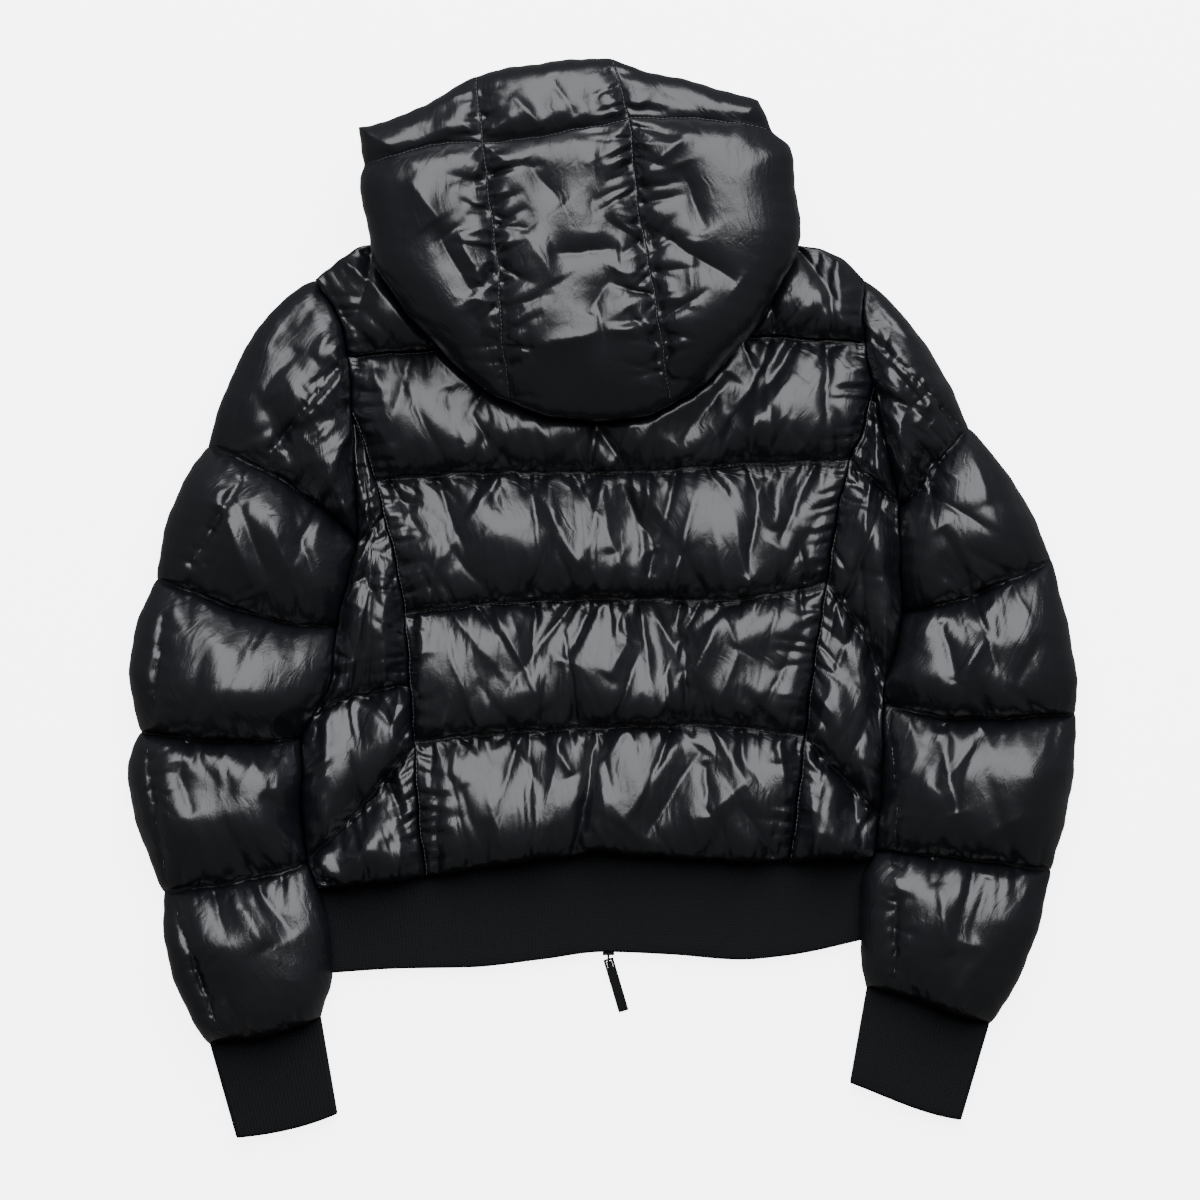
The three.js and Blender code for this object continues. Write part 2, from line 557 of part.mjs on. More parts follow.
// A hidden front: a plain padded wedge under the back, its underside on the surface
function frontPanel(side) {
  const outerTop = side < 0 ? LEFT_ARM[0] : RIGHT_ARM[0];
  const zipEdge = ZIP_X + side * (ZIP_TAPE_WIDTH + SEAM_GAP);
  const outerX = side < 0 ? bodyLeft : bodyRight;
  const hemY = hemSeam(outerX(HEM_SEAM_Y)) + SEAM_GAP / 2;
  const outline = [
    ...evenSteps(44).map((t) => {
      const y = lerp(outerTop.y - 2, hemY, t);
      return [outerX(y), y];
    }),
    ...evenSteps(16).slice(1).map((t) => {
      const x = lerp(outerX(hemY), zipEdge, t);
      return [x, hemSeam(x) + SEAM_GAP / 2];
    }),
    ...evenSteps(8).map((t) => {
      const x = lerp(zipEdge, outerX(outerTop.y - 2), t);
      return [x, shoulders(x) - 1];
    }).slice(0, -1),
  ];
  const bottom = outline.map(([x, y]) => [x, y, 0]);
  const top = outline.map(([x, y]) => [x, y, liningHeight(y)]);
  return slab([bottom, top], outline);
}

// A flattened tube laid on the surface: section points as a place across it and a height fraction
const TUBE_SIDE_HEIGHT = 0.34;
const TUBE_UNDERSIDE = [0.93, 0.8, 0.4, 0, -0.4, -0.8, -0.93];
const TUBE_SLIT = [-0.72, -0.36, 0, 0.36, 0.72];

// Points of a section, each with how far across it lies, its height and its place round the ring
function tubeSection(across, height, ribs = false) {
  const section = [];
  for (let i = 0; i <= across; i += 1) {
    const place = ribs ? lerp(-1, 1, i / across) : -Math.cos((Math.PI * i) / across);
    const round = (1 - Math.abs(place) ** 2.6) ** 0.55;
    const rib = ribs && i % 2 === 1 ? RIB_DEPTH : 0;
    section.push({ across: place, height: height * lerp(TUBE_SIDE_HEIGHT, 1, round) + rib, at: (place + 1) / 2 });
  }
  TUBE_UNDERSIDE.forEach((place) => {
    section.push({ across: place, height: Math.abs(place) > 0.9 ? height * 0.1 : 0, at: (3 - place) / 2 });
  });
  return section;
}
function slitSection(middle) {
  const widest = TUBE_SLIT.at(-1);
  const above = TUBE_SLIT.map((place) => ({
    across: place, height: middle + SLIT / 2, at: (place / widest + 1) / 2,
  }));
  const below = [...TUBE_SLIT].reverse().map((place) => ({
    across: place, height: middle - SLIT / 2, at: (3 - place / widest) / 2 + 0.01,
  }));
  return [...above, ...below];
}
const placesOf = (section) => section.map((point) => point.at);
const SLEEVE_POINTS = 16; // steps over the top of a sleeve's section
const SLIT_AT_ARMHOLE = 14;
const SLIT_AT_CUFF = 5.5;

function sleeveAreas(rows, arm) {
  const outer = (row) => [row.outerX, row.outerY];
  const inner = (row) => [arm(row.innerY), row.innerY];
  const line = (row, index) => (index === 0
    ? downSeam(arm, row.outerY, row.innerY)
    : saggingLine(outer(row), inner(row), row.sagOut, row.sagIn));
  const areas = [];
  for (let i = 0; i < rows.length - 2; i += 2) {
    const [start, puff, end] = rows.slice(i, i + 3);
    areas.push({
      start,
      puff,
      end,
      plan: patch(
        line(start, i),
        line(end, i + 2),
        arcThrough(outer(start), outer(puff), outer(end)),
        (t) => {
          const y = arcThrough([0, start.innerY], [0, puff.innerY], [0, end.innerY])(t)[1];
          return [arm(y), y];
        },
      ),
    });
  }
  return areas;
}

function sleeve(rows, arm, folds) {
  const rings = [];
  const holes = [];
  const areas = sleeveAreas(rows, arm);
  const slitHeight = (index, v) => lerp(SLIT_AT_ARMHOLE, SLIT_AT_CUFF, ((index + v) / areas.length) ** 3);
  areas.forEach(({ start, puff, end, plan }, index) => {
    ROW_STEPS.forEach((v, step) => {
      if (index > 0 && step === 0) return;
      const atOuterSeam = (index === 0 && v === 0) || (index === areas.length - 1 && v === 1);
      const planPoint = (across) => partedPoint(plan, (across + 1) / 2, v, atOuterSeam);
      const seam = lerp(start.height, end.height, v);
      const full = seam + (puff.height - seam) * roundRise(Math.min(v, 1 - v) * 2.6);
      rings.push(tubeSection(SLEEVE_POINTS, full).map(({ across, height }) => {
        const point = planPoint(across);
        const raised = clamp(2 * height / full - 1, 0, 1);
        return [...point, height - raised * Math.min(foldDepth(point, folds), full * 0.4)];
      }));
      if (step % 3 === 0) {
        holes.push(slitSection(slitHeight(index, v)).map(({ across, height }) => [...planPoint(across), height]));
      }
    });
  });
  return wallThrough(rings, holes, placesOf(tubeSection(SLEEVE_POINTS, 1)), placesOf(slitSection(1)), true);
}

function cuffArea(rows, arm, end) {
  const seam = rows.at(-1);
  const outer = [seam.outerX, seam.outerY];
  const inner = [arm(seam.innerY), seam.innerY];
  const top = saggingLine(outer, inner, seam.sagOut, seam.sagIn);
  const bottom = saggingLine([end.outerX, end.outerY], [end.innerX, end.innerY], end.sagOut, end.sagIn);
  return patch(top, bottom, (t) => mix(outer, bottom(0), t), (t) => mix(inner, bottom(1), t));
}

function cuff(rows, arm, end) {
  const area = cuffArea(rows, arm, end);
  const steps = 2 * Math.round(distance(area(0, 0), area(1, 0)) / RIB_PITCH);
  const ribbed = tubeSection(steps, CUFF_THICK, true);
  const slit = slitSection(SLIT_AT_CUFF);
  const placeAll = (section) => [0, 0.5, 1].map((v) => section.map(
    ({ across, height }) => [...partedPoint(area, (across + 1) / 2, v, true, CUFF_GAP), height],
  ));
  return wallThrough(placeAll(ribbed), placeAll(slit), placesOf(ribbed), placesOf(slit), true);
}

// The rib hem: one band that wraps from the zip round the left side, over the back and round
// the right side to the zip again
const HEM_WALL = 4;
const HEM_PLAIN_STEPS = 8;

function hemSection(left, right) {
  const zipLeft = ZIP_X - ZIP_TAPE_WIDTH - SEAM_GAP;
  const zipRight = ZIP_X + ZIP_TAPE_WIDTH + SEAM_GAP;
  const ribSteps = 2 * Math.round((RIGHT_ARM.at(-3).x - LEFT_ARM.at(-4).x) / RIB_PITCH);
  const run = (fromX, toX, height, steps, fromPlace, rib = 0) => Array.from({ length: steps + 1 }, (_, i) => ({
    x: lerp(fromX, toX, i / steps),
    height: height + (i % 2 === 1 ? rib : 0),
    at: fromPlace + i / steps,
  }));
  const outer = [
    ...run(zipLeft, left + HEM_WALL, 0, HEM_PLAIN_STEPS, 0),
    { x: left + 1, height: 1.5, at: 1 },
    { x: left, height: HEM_THICK / 2, at: 1 },
    { x: left + 1, height: HEM_THICK - 2, at: 1 },
    ...run(left + HEM_WALL, right - HEM_WALL, HEM_THICK, ribSteps, 1, RIB_DEPTH),
    { x: right - 1, height: HEM_THICK - 2, at: 2 },
    { x: right, height: HEM_THICK / 2, at: 2 },
    { x: right - 1, height: 1.5, at: 2 },
    ...run(right - HEM_WALL, zipRight, 0, HEM_PLAIN_STEPS, 2),
  ];
  const foldIn = 2 * HEM_WALL;
  const inner = [
    ...run(zipLeft, left + foldIn, HEM_WALL, HEM_PLAIN_STEPS, 0),
    ...run(left + foldIn, right - foldIn, HEM_WALL + SLIT, 2 * HEM_PLAIN_STEPS, 1),
    ...run(right - foldIn, zipRight, HEM_WALL, HEM_PLAIN_STEPS, 2),
  ];
  return { outer, inner };
}

function hem() {
  const sections = [0, 0.5, 1].map((v) => {
    const left = bodyLeft(lerp(hemSeam(bodyLeft(HEM_SEAM_Y)), HEM_EDGE[0].y, v));
    const right = bodyRight(lerp(hemSeam(bodyRight(HEM_SEAM_Y)), HEM_EDGE.at(-1).y, v));
    const { outer, inner } = hemSection(left, right);
    const place = ({ x, height }) => [x, lerp(hemSeam(x) - SEAM_GAP, hemEdge(x), v), height];
    return { outer: outer.map(place), inner: inner.map(place) };
  });
  const { outer, inner } = hemSection(0, 1);
  return wallThrough(sections.map((row) => row.outer), sections.map((row) => row.inner), placesOf(outer), placesOf(inner), false);
}

// Hood panels over the folded layers
const onSeams = [
  (point) => point[0] - hoodLeftSeam(point[1]),
  (point) => point[0] - hoodRightSeam(point[1]),
  (point) => point[1] - bandSeam(point[0]),
];
const BAND_ENDS = { left: -184, leftSeam: -92, rightSeam: 21, right: 132 };
const TOP_ENDS = { left: -189, leftSeam: -98, rightSeam: 8, right: 121 };
const CROWN_ENDS = { left: -75, leftSeam: -71, rightSeam: 53, right: 57 };

function hoodPanel(area, columns, steps) {
  const grid = steps.map((v) => Array.from({ length: columns + 1 }, (_, column) => {
    const point = partedPoint(area, column / columns, v, true);
    return [...point, hoodHeight(point, onSeams)];
  }));
  return paddedPanel(grid, () => HOOD_LAYERS_TOP + LAYER_GAP);
}
const uprightBetween = (seam, fromX, toX, fromY, toY) => (t) => {
  const y = lerp(fromY, toY, t);
  const slip = lerp(fromX - seam(fromY), toX - seam(toY), t);
  return [seam(y) + slip, y];
};

function hoodBody(leftSeam, rightSeam, fromName, toName, crownLine) {
  const top = alongSeam(bandSeam, BAND_ENDS[fromName], BAND_ENDS[toName]);
  const left = uprightBetween(leftSeam, top(0)[0], crownLine(0)[0], top(0)[1], crownLine(0)[1]);
  const right = uprightBetween(rightSeam, top(1)[0], crownLine(1)[0], top(1)[1], crownLine(1)[1]);
  return patch(top, crownLine, left, right);
}
function hoodBand(fromName, toName) {
  const top = alongSeam(hoodTopEdge, TOP_ENDS[fromName], TOP_ENDS[toName]);
  const bottom = alongSeam(bandSeam, BAND_ENDS[fromName], BAND_ENDS[toName]);
  return patch(top, bottom, (t) => mix(top(0), bottom(0), t), (t) => mix(top(1), bottom(1), t));
}
const crownLeft = (t) => mix([CROWN_ENDS.left, 430], [CROWN_ENDS.leftSeam, 428], t);
const crownRight = (t) => mix([CROWN_ENDS.rightSeam, 427], [CROWN_ENDS.right, 429], t);
const crownCentre = alongSeam(crown, CROWN_ENDS.leftSeam, CROWN_ENDS.rightSeam);

// The hood's folded layers: a rounded slab within the hood's outline. Beyond the shoulders it
// reaches the surface, and over the back it lies on the pressed yoke
const LAYER_PROFILE = [
  { height: 0, inset: 9 }, { height: 9, inset: 4 }, { height: 30, inset: 2.5 },
  { height: 52, inset: 4 }, { height: HOOD_LAYERS_TOP, inset: 7 },
];

function softened(outline, passes) {
  let soft = outline;
  for (let pass = 0; pass < passes; pass += 1) {
    soft = soft.map((point, i) => mix(mix(soft.at(i - 1), soft[(i + 1) % soft.length], 0.5), point, 0.4));
  }
  return soft;
}

function insetOutline(outline, inset) {
  return outline.map((point, i) => {
    const before = outline[(i - 2 + outline.length) % outline.length];
    const after = outline[(i + 2) % outline.length];
    const length = distance(before, after);
    return [
      point[0] + (inset * (after[1] - before[1])) / length,
      point[1] - (inset * (after[0] - before[0])) / length,
    ];
  });
}

const wasm = await Module();
wasm.setup();

function toManifold(geometry) {
  const bare = geometry.clone();
  bare.deleteAttribute('normal');
  bare.deleteAttribute('uv');
  const merged = mergeVertices(bare, 1e-4);
  return new wasm.Manifold(new wasm.Mesh({
    numProp: 3,
    vertProperties: new Float32Array(merged.getAttribute('position').array),
    triVerts: new Uint32Array(merged.getIndex().array),
  }));
}
function fromManifold(solid) {
  const mesh = solid.getMesh();
  const geometry = new THREE.BufferGeometry();
  geometry.setAttribute('position', new THREE.BufferAttribute(new Float32Array(mesh.vertProperties), 3));
  geometry.setIndex(new THREE.BufferAttribute(new Uint32Array(mesh.triVerts), 1));
  return geometry;
}

function hoodLayers() {
  const outline = softened(hoodOutline, 12).filter((_, i) => i % 3 === 0);
  const rings = LAYER_PROFILE.map((row) => insetOutline(outline, row.inset).map(([x, y]) => [x, y, row.height]));
  const folded = slab(rings, outline);
  const neck = NECK_Y + 1 + LAYER_GAP;
  const under = new THREE.BoxGeometry(600, 400, 2 * HOOD_FLOOR);
  under.translate(0, neck - 200, 0);
  return fromManifold(toManifold(folded).subtract(toManifold(under)));
}

// Zip: two tapes between the fronts, and at the hem the slider, with a lug that holds the pull tab
const PULL = { length: 42, width: 8, thick: 1.8, eyeWidth: 4.4, eyeLength: 6, bar: 1.6 };
const LUG = { thick: 1.8, hole: 1.6, wall: 1.1 };
const PIVOT = { x: 5, y: -5, z: 2.9 };
const TAB_YAW = THREE.MathUtils.degToRad(16.5);
const SLIDER = { width: 9, length: 12, thick: 3.2, start: 3.4 };
const TAPE_END_GAP = 3;

function zipTape(side) {
  const length = NECK_Y - 4 - (SLIDER.length + TAPE_END_GAP);
  const tape = new THREE.BoxGeometry(ZIP_TAPE_WIDTH - SEAM_GAP / 2, length, ZIP_TAPE_THICK);
  const x = ZIP_X + side * (SEAM_GAP / 2 + (ZIP_TAPE_WIDTH - SEAM_GAP / 2) / 2);
  return tape.translate(x, SLIDER.length + TAPE_END_GAP + length / 2, ZIP_TAPE_THICK / 2);
}

function roundedRectangle(x0, y0, x1, y1, radius) {
  const shape = new THREE.Shape();
  shape.moveTo(x0 + radius, y0);
  shape.lineTo(x1 - radius, y0);
  shape.absarc(x1 - radius, y0 + radius, radius, -Math.PI / 2, 0);
  shape.lineTo(x1, y1 - radius);
  shape.absarc(x1 - radius, y1 - radius, radius, 0, Math.PI / 2);
  shape.lineTo(x0 + radius, y1);
  shape.absarc(x0 + radius, y1 - radius, radius, Math.PI / 2, Math.PI);
  shape.lineTo(x0, y0 + radius);
  shape.absarc(x0 + radius, y0 + radius, radius, Math.PI, 1.5 * Math.PI);
  return shape;
}

// The tab hangs from the lug by its bar and rests with its far end on the surface
function pullTab() {
  const half = PULL.width / 2;
  const shape = roundedRectangle(-half, -PULL.length, half, PULL.bar / 2, 1);
  const eye = roundedRectangle(-PULL.eyeWidth / 2, -PULL.bar / 2 - PULL.eyeLength, PULL.eyeWidth / 2, -PULL.bar / 2, 0.6);
  shape.holes.push(eye);
  const geometry = new THREE.ExtrudeGeometry(shape, { depth: PULL.thick, bevelEnabled: false, curveSegments: 3 });
  return geometry.translate(0, 0, -PULL.thick / 2);
}

// The slider's body above the tape ends, and the lug that reaches down from it round the tab's bar.
// The lug is drawn from the side, away from the hem and up, and then turned into place
function slider() {
  const rim = LUG.hole + LUG.wall;
  const shankEnd = -SLIDER.start - 2;
  const side = new THREE.Shape();
  side.absarc(0, 0, rim, -Math.PI / 2, Math.PI / 2);
  side.lineTo(shankEnd, rim);
  side.lineTo(shankEnd, -0.2);
  side.lineTo(-rim - 0.2, -0.2);
  side.lineTo(-0.8 * rim, -0.7 * rim);
  const hole = new THREE.Path();
  hole.absarc(0, 0, LUG.hole, 0, 2 * Math.PI, true);
  side.holes.push(hole);
  const lug = new THREE.ExtrudeGeometry(side, { depth: LUG.thick, bevelEnabled: false, curveSegments: 6 });
  lug.translate(0, 0, -LUG.thick / 2);
  lug.applyMatrix4(new THREE.Matrix4().set(0, 0, -1, 0, -1, 0, 0, 0, 0, 1, 0, 0, 0, 0, 0, 1));
  const half = SLIDER.width / 2;
  const end = SLIDER.start + SLIDER.length;
  const plan = [
    [-half, SLIDER.start], [half, SLIDER.start], [half, end - 3], [half - 3, end], [3 - half, end], [-half, end - 3],
  ];
  const plate = new THREE.Shape(plan.map(([x, y]) => new THREE.Vector2(x, y)));
  const body = new THREE.ExtrudeGeometry(plate, { depth: SLIDER.thick, bevelEnabled: false });
  body.translate(0, 0, rim + 0.1 - SLIDER.thick);
  return fromManifold(toManifold(lug).add(toManifold(body)));
}

// Assembly
const jacket = new THREE.Group();

function addPiece(parent, name, geometry, colour, roughness, metalness = 0) {
  const material = new THREE.MeshStandardMaterial({ color: colour, roughness, metalness });
  const mesh = new THREE.Mesh(geometry, material);
  mesh.name = name;
  parent.add(mesh);
  return mesh;
}
const addNylon = (name, geometry) => addPiece(jacket, name, geometry, COLOURS.nylon, 0.35);
const addRib = (name, geometry) => addPiece(jacket, name, geometry, COLOURS.rib, 0.9);

addNylon('back_yoke', backYoke());
addNylon('back_centre', backCentre());
addNylon('back_side_left', sidePanel(bodyLeft, leftPrincess, LEFT_SIDE_TOP, LEFT_SIDE_SEAMS));
addNylon('back_side_right', sidePanel(rightPrincess, bodyRight, RIGHT_SIDE_TOP, RIGHT_SIDE_SEAMS));
addNylon('front_left', frontPanel(-1));
addNylon('front_right', frontPanel(1));
addNylon('sleeve_left', sleeve(LEFT_SLEEVE, leftArm, SLEEVE_FOLDS.left));
addNylon('sleeve_right', sleeve(RIGHT_SLEEVE, rightArm, SLEEVE_FOLDS.right));
addRib('cuff_left', cuff(LEFT_SLEEVE, leftArm, LEFT_CUFF_END));
addRib('cuff_right', cuff(RIGHT_SLEEVE, rightArm, RIGHT_CUFF_END));
addRib('hem', hem());

const hoodSteps = evenSteps(14);
const bandSteps = evenSteps(4);
addNylon('hood_left', hoodPanel(hoodBody(hoodLeftEdge, hoodLeftSeam, 'left', 'leftSeam', crownLeft), 9, hoodSteps));
addNylon('hood_centre', hoodPanel(hoodBody(hoodLeftSeam, hoodRightSeam, 'leftSeam', 'rightSeam', crownCentre), 12, hoodSteps));
addNylon('hood_right', hoodPanel(hoodBody(hoodRightSeam, hoodRightEdge, 'rightSeam', 'right', crownRight), 9, hoodSteps));
addNylon('hood_band_left', hoodPanel(hoodBand('left', 'leftSeam'), 9, bandSteps));
addNylon('hood_band_centre', hoodPanel(hoodBand('leftSeam', 'rightSeam'), 12, bandSteps));
addNylon('hood_band_right', hoodPanel(hoodBand('rightSeam', 'right'), 9, bandSteps));
addNylon('hood_layers', hoodLayers());

addPiece(jacket, 'zip_tape_left', zipTape(-1), COLOURS.tape, 0.8);
addPiece(jacket, 'zip_tape_right', zipTape(1), COLOURS.tape, 0.8);
const pull = new THREE.Group();
pull.position.set(PIVOT.x, PIVOT.y, PIVOT.z);
jacket.add(pull);
addPiece(pull, 'zip_slider', slider(), COLOURS.metal, 0.5, 0.6);
const tab = addPiece(pull, 'pull_tab', pullTab(), COLOURS.metal, 0.55, 0.2);
tab.rotation.set(Math.asin((PIVOT.z - PULL.thick / 2 - 0.1) / PULL.length), 0, TAB_YAW, 'ZXY');

jacket.updateMatrixWorld(true);
const box = new THREE.Box3().setFromObject(jacket, true);
jacket.position.set(-(box.min.x + box.max.x) / 2, -(box.min.y + box.max.y) / 2, -box.min.z);

export default jacket;
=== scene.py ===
"""A short padded jacket with a hood, laid face down, seen from straight above.

Plan tables are in millimetres from the middle of the hem's lower edge: x to the right as seen
from above, y towards the hood, z up from the surface. Meshes are made in metres in the frame.
"""

import json
import math

import bmesh
import bpy
import numpy as np
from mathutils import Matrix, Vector


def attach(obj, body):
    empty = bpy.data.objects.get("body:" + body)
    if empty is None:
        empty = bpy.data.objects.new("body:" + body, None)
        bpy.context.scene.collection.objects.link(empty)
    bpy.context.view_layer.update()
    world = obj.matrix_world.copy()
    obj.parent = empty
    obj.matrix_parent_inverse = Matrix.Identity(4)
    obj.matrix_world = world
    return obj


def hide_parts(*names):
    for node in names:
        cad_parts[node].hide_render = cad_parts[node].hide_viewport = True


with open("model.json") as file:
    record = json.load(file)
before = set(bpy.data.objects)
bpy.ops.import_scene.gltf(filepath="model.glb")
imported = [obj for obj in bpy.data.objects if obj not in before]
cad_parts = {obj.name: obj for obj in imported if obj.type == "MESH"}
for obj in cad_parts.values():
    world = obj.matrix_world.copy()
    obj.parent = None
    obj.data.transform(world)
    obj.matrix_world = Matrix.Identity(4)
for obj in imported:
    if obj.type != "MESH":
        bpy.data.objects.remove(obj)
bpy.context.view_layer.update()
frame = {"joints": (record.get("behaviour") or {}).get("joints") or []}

MM = 0.001
PIVOT = (5.0, -5.0)  # the pull tab's pivot in plan, which ties the plan to the frame
pivot_in_frame = frame["joints"][0]["pos_m"]
ORIGIN = np.array([pivot_in_frame[0] - PIVOT[0] * MM, pivot_in_frame[1] - PIVOT[1] * MM, 0.0])
FINE = 2  # how often the cloth's grid is halved
rng = np.random.default_rng(7)

# Heights, thicknesses and ribs in millimetres, and shares where a comment says so
LINING_AT_HEM, LINING_AT_NECK = 6.0, 26.0
HEM_SEAM_Y, NECK_Y = 60.0, 550.0
SEAM_RISE, SEAM_EASE = 12.0, 5.0  # of the seams over the lining, and how far off folds start
PUFF_RISE = 25.0
PUFF_RADIUS = 36.0
BACK_CREST = (0.7, 0.2)  # how far down a puff its crest lies, and how fast it rises there
SLEEVE_CREST = (0.40, 0.55)
PRESSED = 40.0  # the most that the back rises under the hood
PRESSED_TO_FREE = (-9, 6)  # from how far inside the hood's edge to how far outside
LAYERS_TOP = 60.0  # of the hood's folded layers, below its upper panels
HOOD_EDGE = 69.0
HOOD_TOP = 112.0
HOOD_ROUND = 54.0  # how far inside its edge the hood reaches its full height
HOOD_SEAM_DIP, HOOD_SEAM_WIDTH = 11.0, 9.0
HOOD_TILT, TILT_FROM_Y = 0.06, 490  # how fast the hood sinks towards the neck, and from where
CROWN_DROP, EDGE_DROP = 18.0, 5.0  # how much thinner the hood and its edge are at its crown
CROWN_FADE = (420, 500)
HEM_THICK, CUFF_THICK = 10.0, 11.0
RIB_PITCH, RIB_DEPTH = 2.8, 0.55

# Upright seams: (x, y) from top to bottom
LEFT_ARM = [
    (-223, 524), (-208, 503), (-200, 478), (-196, 447), (-194, 408), (-192, 361), (-190, 338), (-190, 322),
    (-198, 289), (-206, 255), (-212, 209), (-233, 168), (-234, 119), (-229, 71), (-215, 30), (-210, -13),
    (-219, -49)]
RIGHT_ARM = [
    (203, 525), (203, 494), (207, 463), (214, 431), (222, 392), (230, 351), (232, 310), (233, 266),
    (227, 232), (218, 200), (218, 162), (217, 123), (212, 80), (202, 53), (201, 6), (206, -27)]
LEFT_PRINCESS = [
    (-195, 422), (-180, 381), (-170, 342), (-160, 303), (-154, 266), (-150, 217), (-147, 170), (-142, 96),
    (-137, 60)]
RIGHT_PRINCESS = [
    (210, 443), (203, 408), (193, 385), (183, 342), (175, 291), (165, 229), (158, 170), (152, 119),
    (146, 73)]
HOOD_LEFT_EDGE = [
    (-189, 641), (-184, 613), (-188, 601), (-183, 572), (-177, 539), (-158, 507), (-126, 470), (-91, 439),
    (-71, 428)]
HOOD_RIGHT_EDGE = [
    (121, 662), (132, 639), (146, 625), (151, 583), (154, 560), (139, 521), (112, 478), (73, 439), (53, 427)]
HOOD_LEFT_SEAM = [(-98, 679), (-92, 628), (-87, 583), (-80, 529), (-78, 486), (-71, 428)]
HOOD_RIGHT_SEAM = [(8, 693), (21, 642), (27, 583), (37, 529), (44, 486), (53, 427)]

# Level seams and edges: (x, y) from left to right
SHOULDERS = [(-223, 524), (-204, 540), (-182, 551), (-2, 545), (154, 551), (186, 541), (203, 525)]
HEM_SEAM = [
    (-240, 50), (-173, 55), (-134, 60), (-80, 68), (-33, 74), (-2, 78), (30, 75), (76, 72), (123, 70),
    (154, 72), (220, 74)]
HEM_EDGE = [
    (-220, -16), (-158, -12), (-103, -11), (-48, -5), (1, 1), (53, -1), (108, -5), (143, -2), (210, 12)]
HOOD_TOP_EDGE = [
    (-189, 641), (-158, 649), (-126, 665), (-95, 682), (-48, 691), (-2, 695), (30, 686), (76, 675),
    (121, 662)]
BAND_SEAM = [
    (-184, 613), (-158, 619), (-126, 628), (-80, 629), (-17, 639), (37, 648), (76, 647), (132, 639)]
CROWN = [(-71, 428), (-44, 418), (-2, 414), (30, 416), (53, 427)]

# Quilting across the back: y at the left end, quarter, middle, three quarters and right end
BACK_QUILTING = [
    (465, 472, 477, 481, 476), (369, 375, 375, 381, 385), (266, 274, 277, 276, 289),
    (166, 173, 177, 179, 170)]
# Seams across the side panels: y at the left, y at the right, sag of the middle
LEFT_SIDE_SEAMS = [(320, 340, 0), (184, 208, -8), (71, 162, 2)]
RIGHT_SIDE_SEAMS = [(385, 351, 0), (289, 213, -4), (168, 108, 0)]
LEFT_SIDE_TOP, RIGHT_SIDE_TOP = 412, 430

# Sleeves: outer x, outer y, inner y, sag near the outer edge, sag near the inner edge, height;
# seams and puffs take turns from the armhole to the cuff seam
LEFT_SLEEVE = [
    (-223, 524, 332, 0, 0, 40), (-271, 482, 327, 0, 0, 66), (-307, 395, 322, -10, -12, 32),
    (-335, 347, 289, 0, 0, 68), (-346, 292, 255, 4, 16, 31), (-367, 232, 209, 0, 0, 66),
    (-358, 173, 168, 7, 8, 30), (-368, 127, 119, 0, 0, 62), (-341, 48, 71, 3, 6, 27),
    (-335, -15, 3, 0, 0, 54), (-306, -70, -49, 3, 9, 17)]
RIGHT_SLEEVE = [
    (203, 525, 355, 0, 0, 40), (250, 477, 351, 0, 0, 66), (285, 409, 347, -3, 4, 32),
    (324, 361, 310, 0, 0, 68), (349, 307, 266, 6, 10, 31), (367, 232, 232, 0, 0, 66),
    (368, 187, 197, 6, 18, 30), (365, 127, 123, 0, 0, 62), (349, 65, 80, -2, -3, 27),
    (332, -2, 40, 0, 0, 54), (302, -55, -27, 5, -8, 17)]
SLEEVES = {"left": LEFT_SLEEVE, "right": RIGHT_SLEEVE}
# Cuff ends: outer x and y, inner x and y, sags
CUFFS = {"left": (-285, -144, -206, -125, 4, 5), "right": (280, -130, 193, -101, 6, 1)}

# Folds: from x, y to x, y, depth (negative stands up), width
SLEEVE_FOLDS = {
    "left": [
        (-300, 190, -250, 150, 6, 9), (-240, 300, -215, 250, 5, 8), (-262, 125, -222, 84, 8, 6),
        (-255, 132, -222, 98, -5, 6), (-300, 360, -270, 285, -7, 9), (-282, 350, -258, 290, 6, 8),
        (-258, 340, -228, 262, -5, 7), (-235, 330, -222, 285, 5, 6), (-330, 150, -318, 110, 4, 9),
        (-290, 60, -262, 5, -6, 9), (-275, 60, -240, 15, 6, 9), (-320, 0, -300, -40, 4, 8),
        (-250, 455, -215, 400, -5, 10), (-270, 440, -240, 380, 5, 10), (-197, 462, -230, 439, 6, 6),
        (-197, 450, -240, 411, -6, 6), (-194, 431, -228, 400, 6, 6), (-259, 431, -240, 388, 5, 7),
        (-208, 486, -222, 462, -5, 6), (-232, 505, -259, 470, 5, 8), (-251, 490, -275, 447, -5, 8),
        (-235, 470, -262, 440, 4, 6), (-215, 420, -250, 395, 5, 5), (-280, 430, -290, 395, 4, 6)],
    "right": [
        (262, 330, 300, 268, 6, 9), (330, 300, 290, 255, -6, 9), (300, 180, 262, 128, 6, 9),
        (330, 110, 290, 88, -4, 8), (262, 258, 276, 212, 6, 7), (276, 212, 300, 250, -6, 7),
        (250, 395, 240, 345, 6, 8), (285, 400, 300, 350, -5, 9), (270, 290, 240, 240, -6, 9),
        (262, 170, 275, 110, 7, 7), (300, 60, 285, 10, 6, 9), (260, 55, 270, 0, -5, 9),
        (240, 480, 262, 430, 5, 9), (320, 210, 345, 250, 4, 9), (213, 498, 244, 470, 5, 6),
        (217, 470, 248, 439, -6, 6), (228, 431, 256, 412, 6, 6), (264, 447, 244, 408, -5, 6),
        (225, 455, 250, 425, 5, 5), (238, 430, 225, 390, -4, 6)],
}
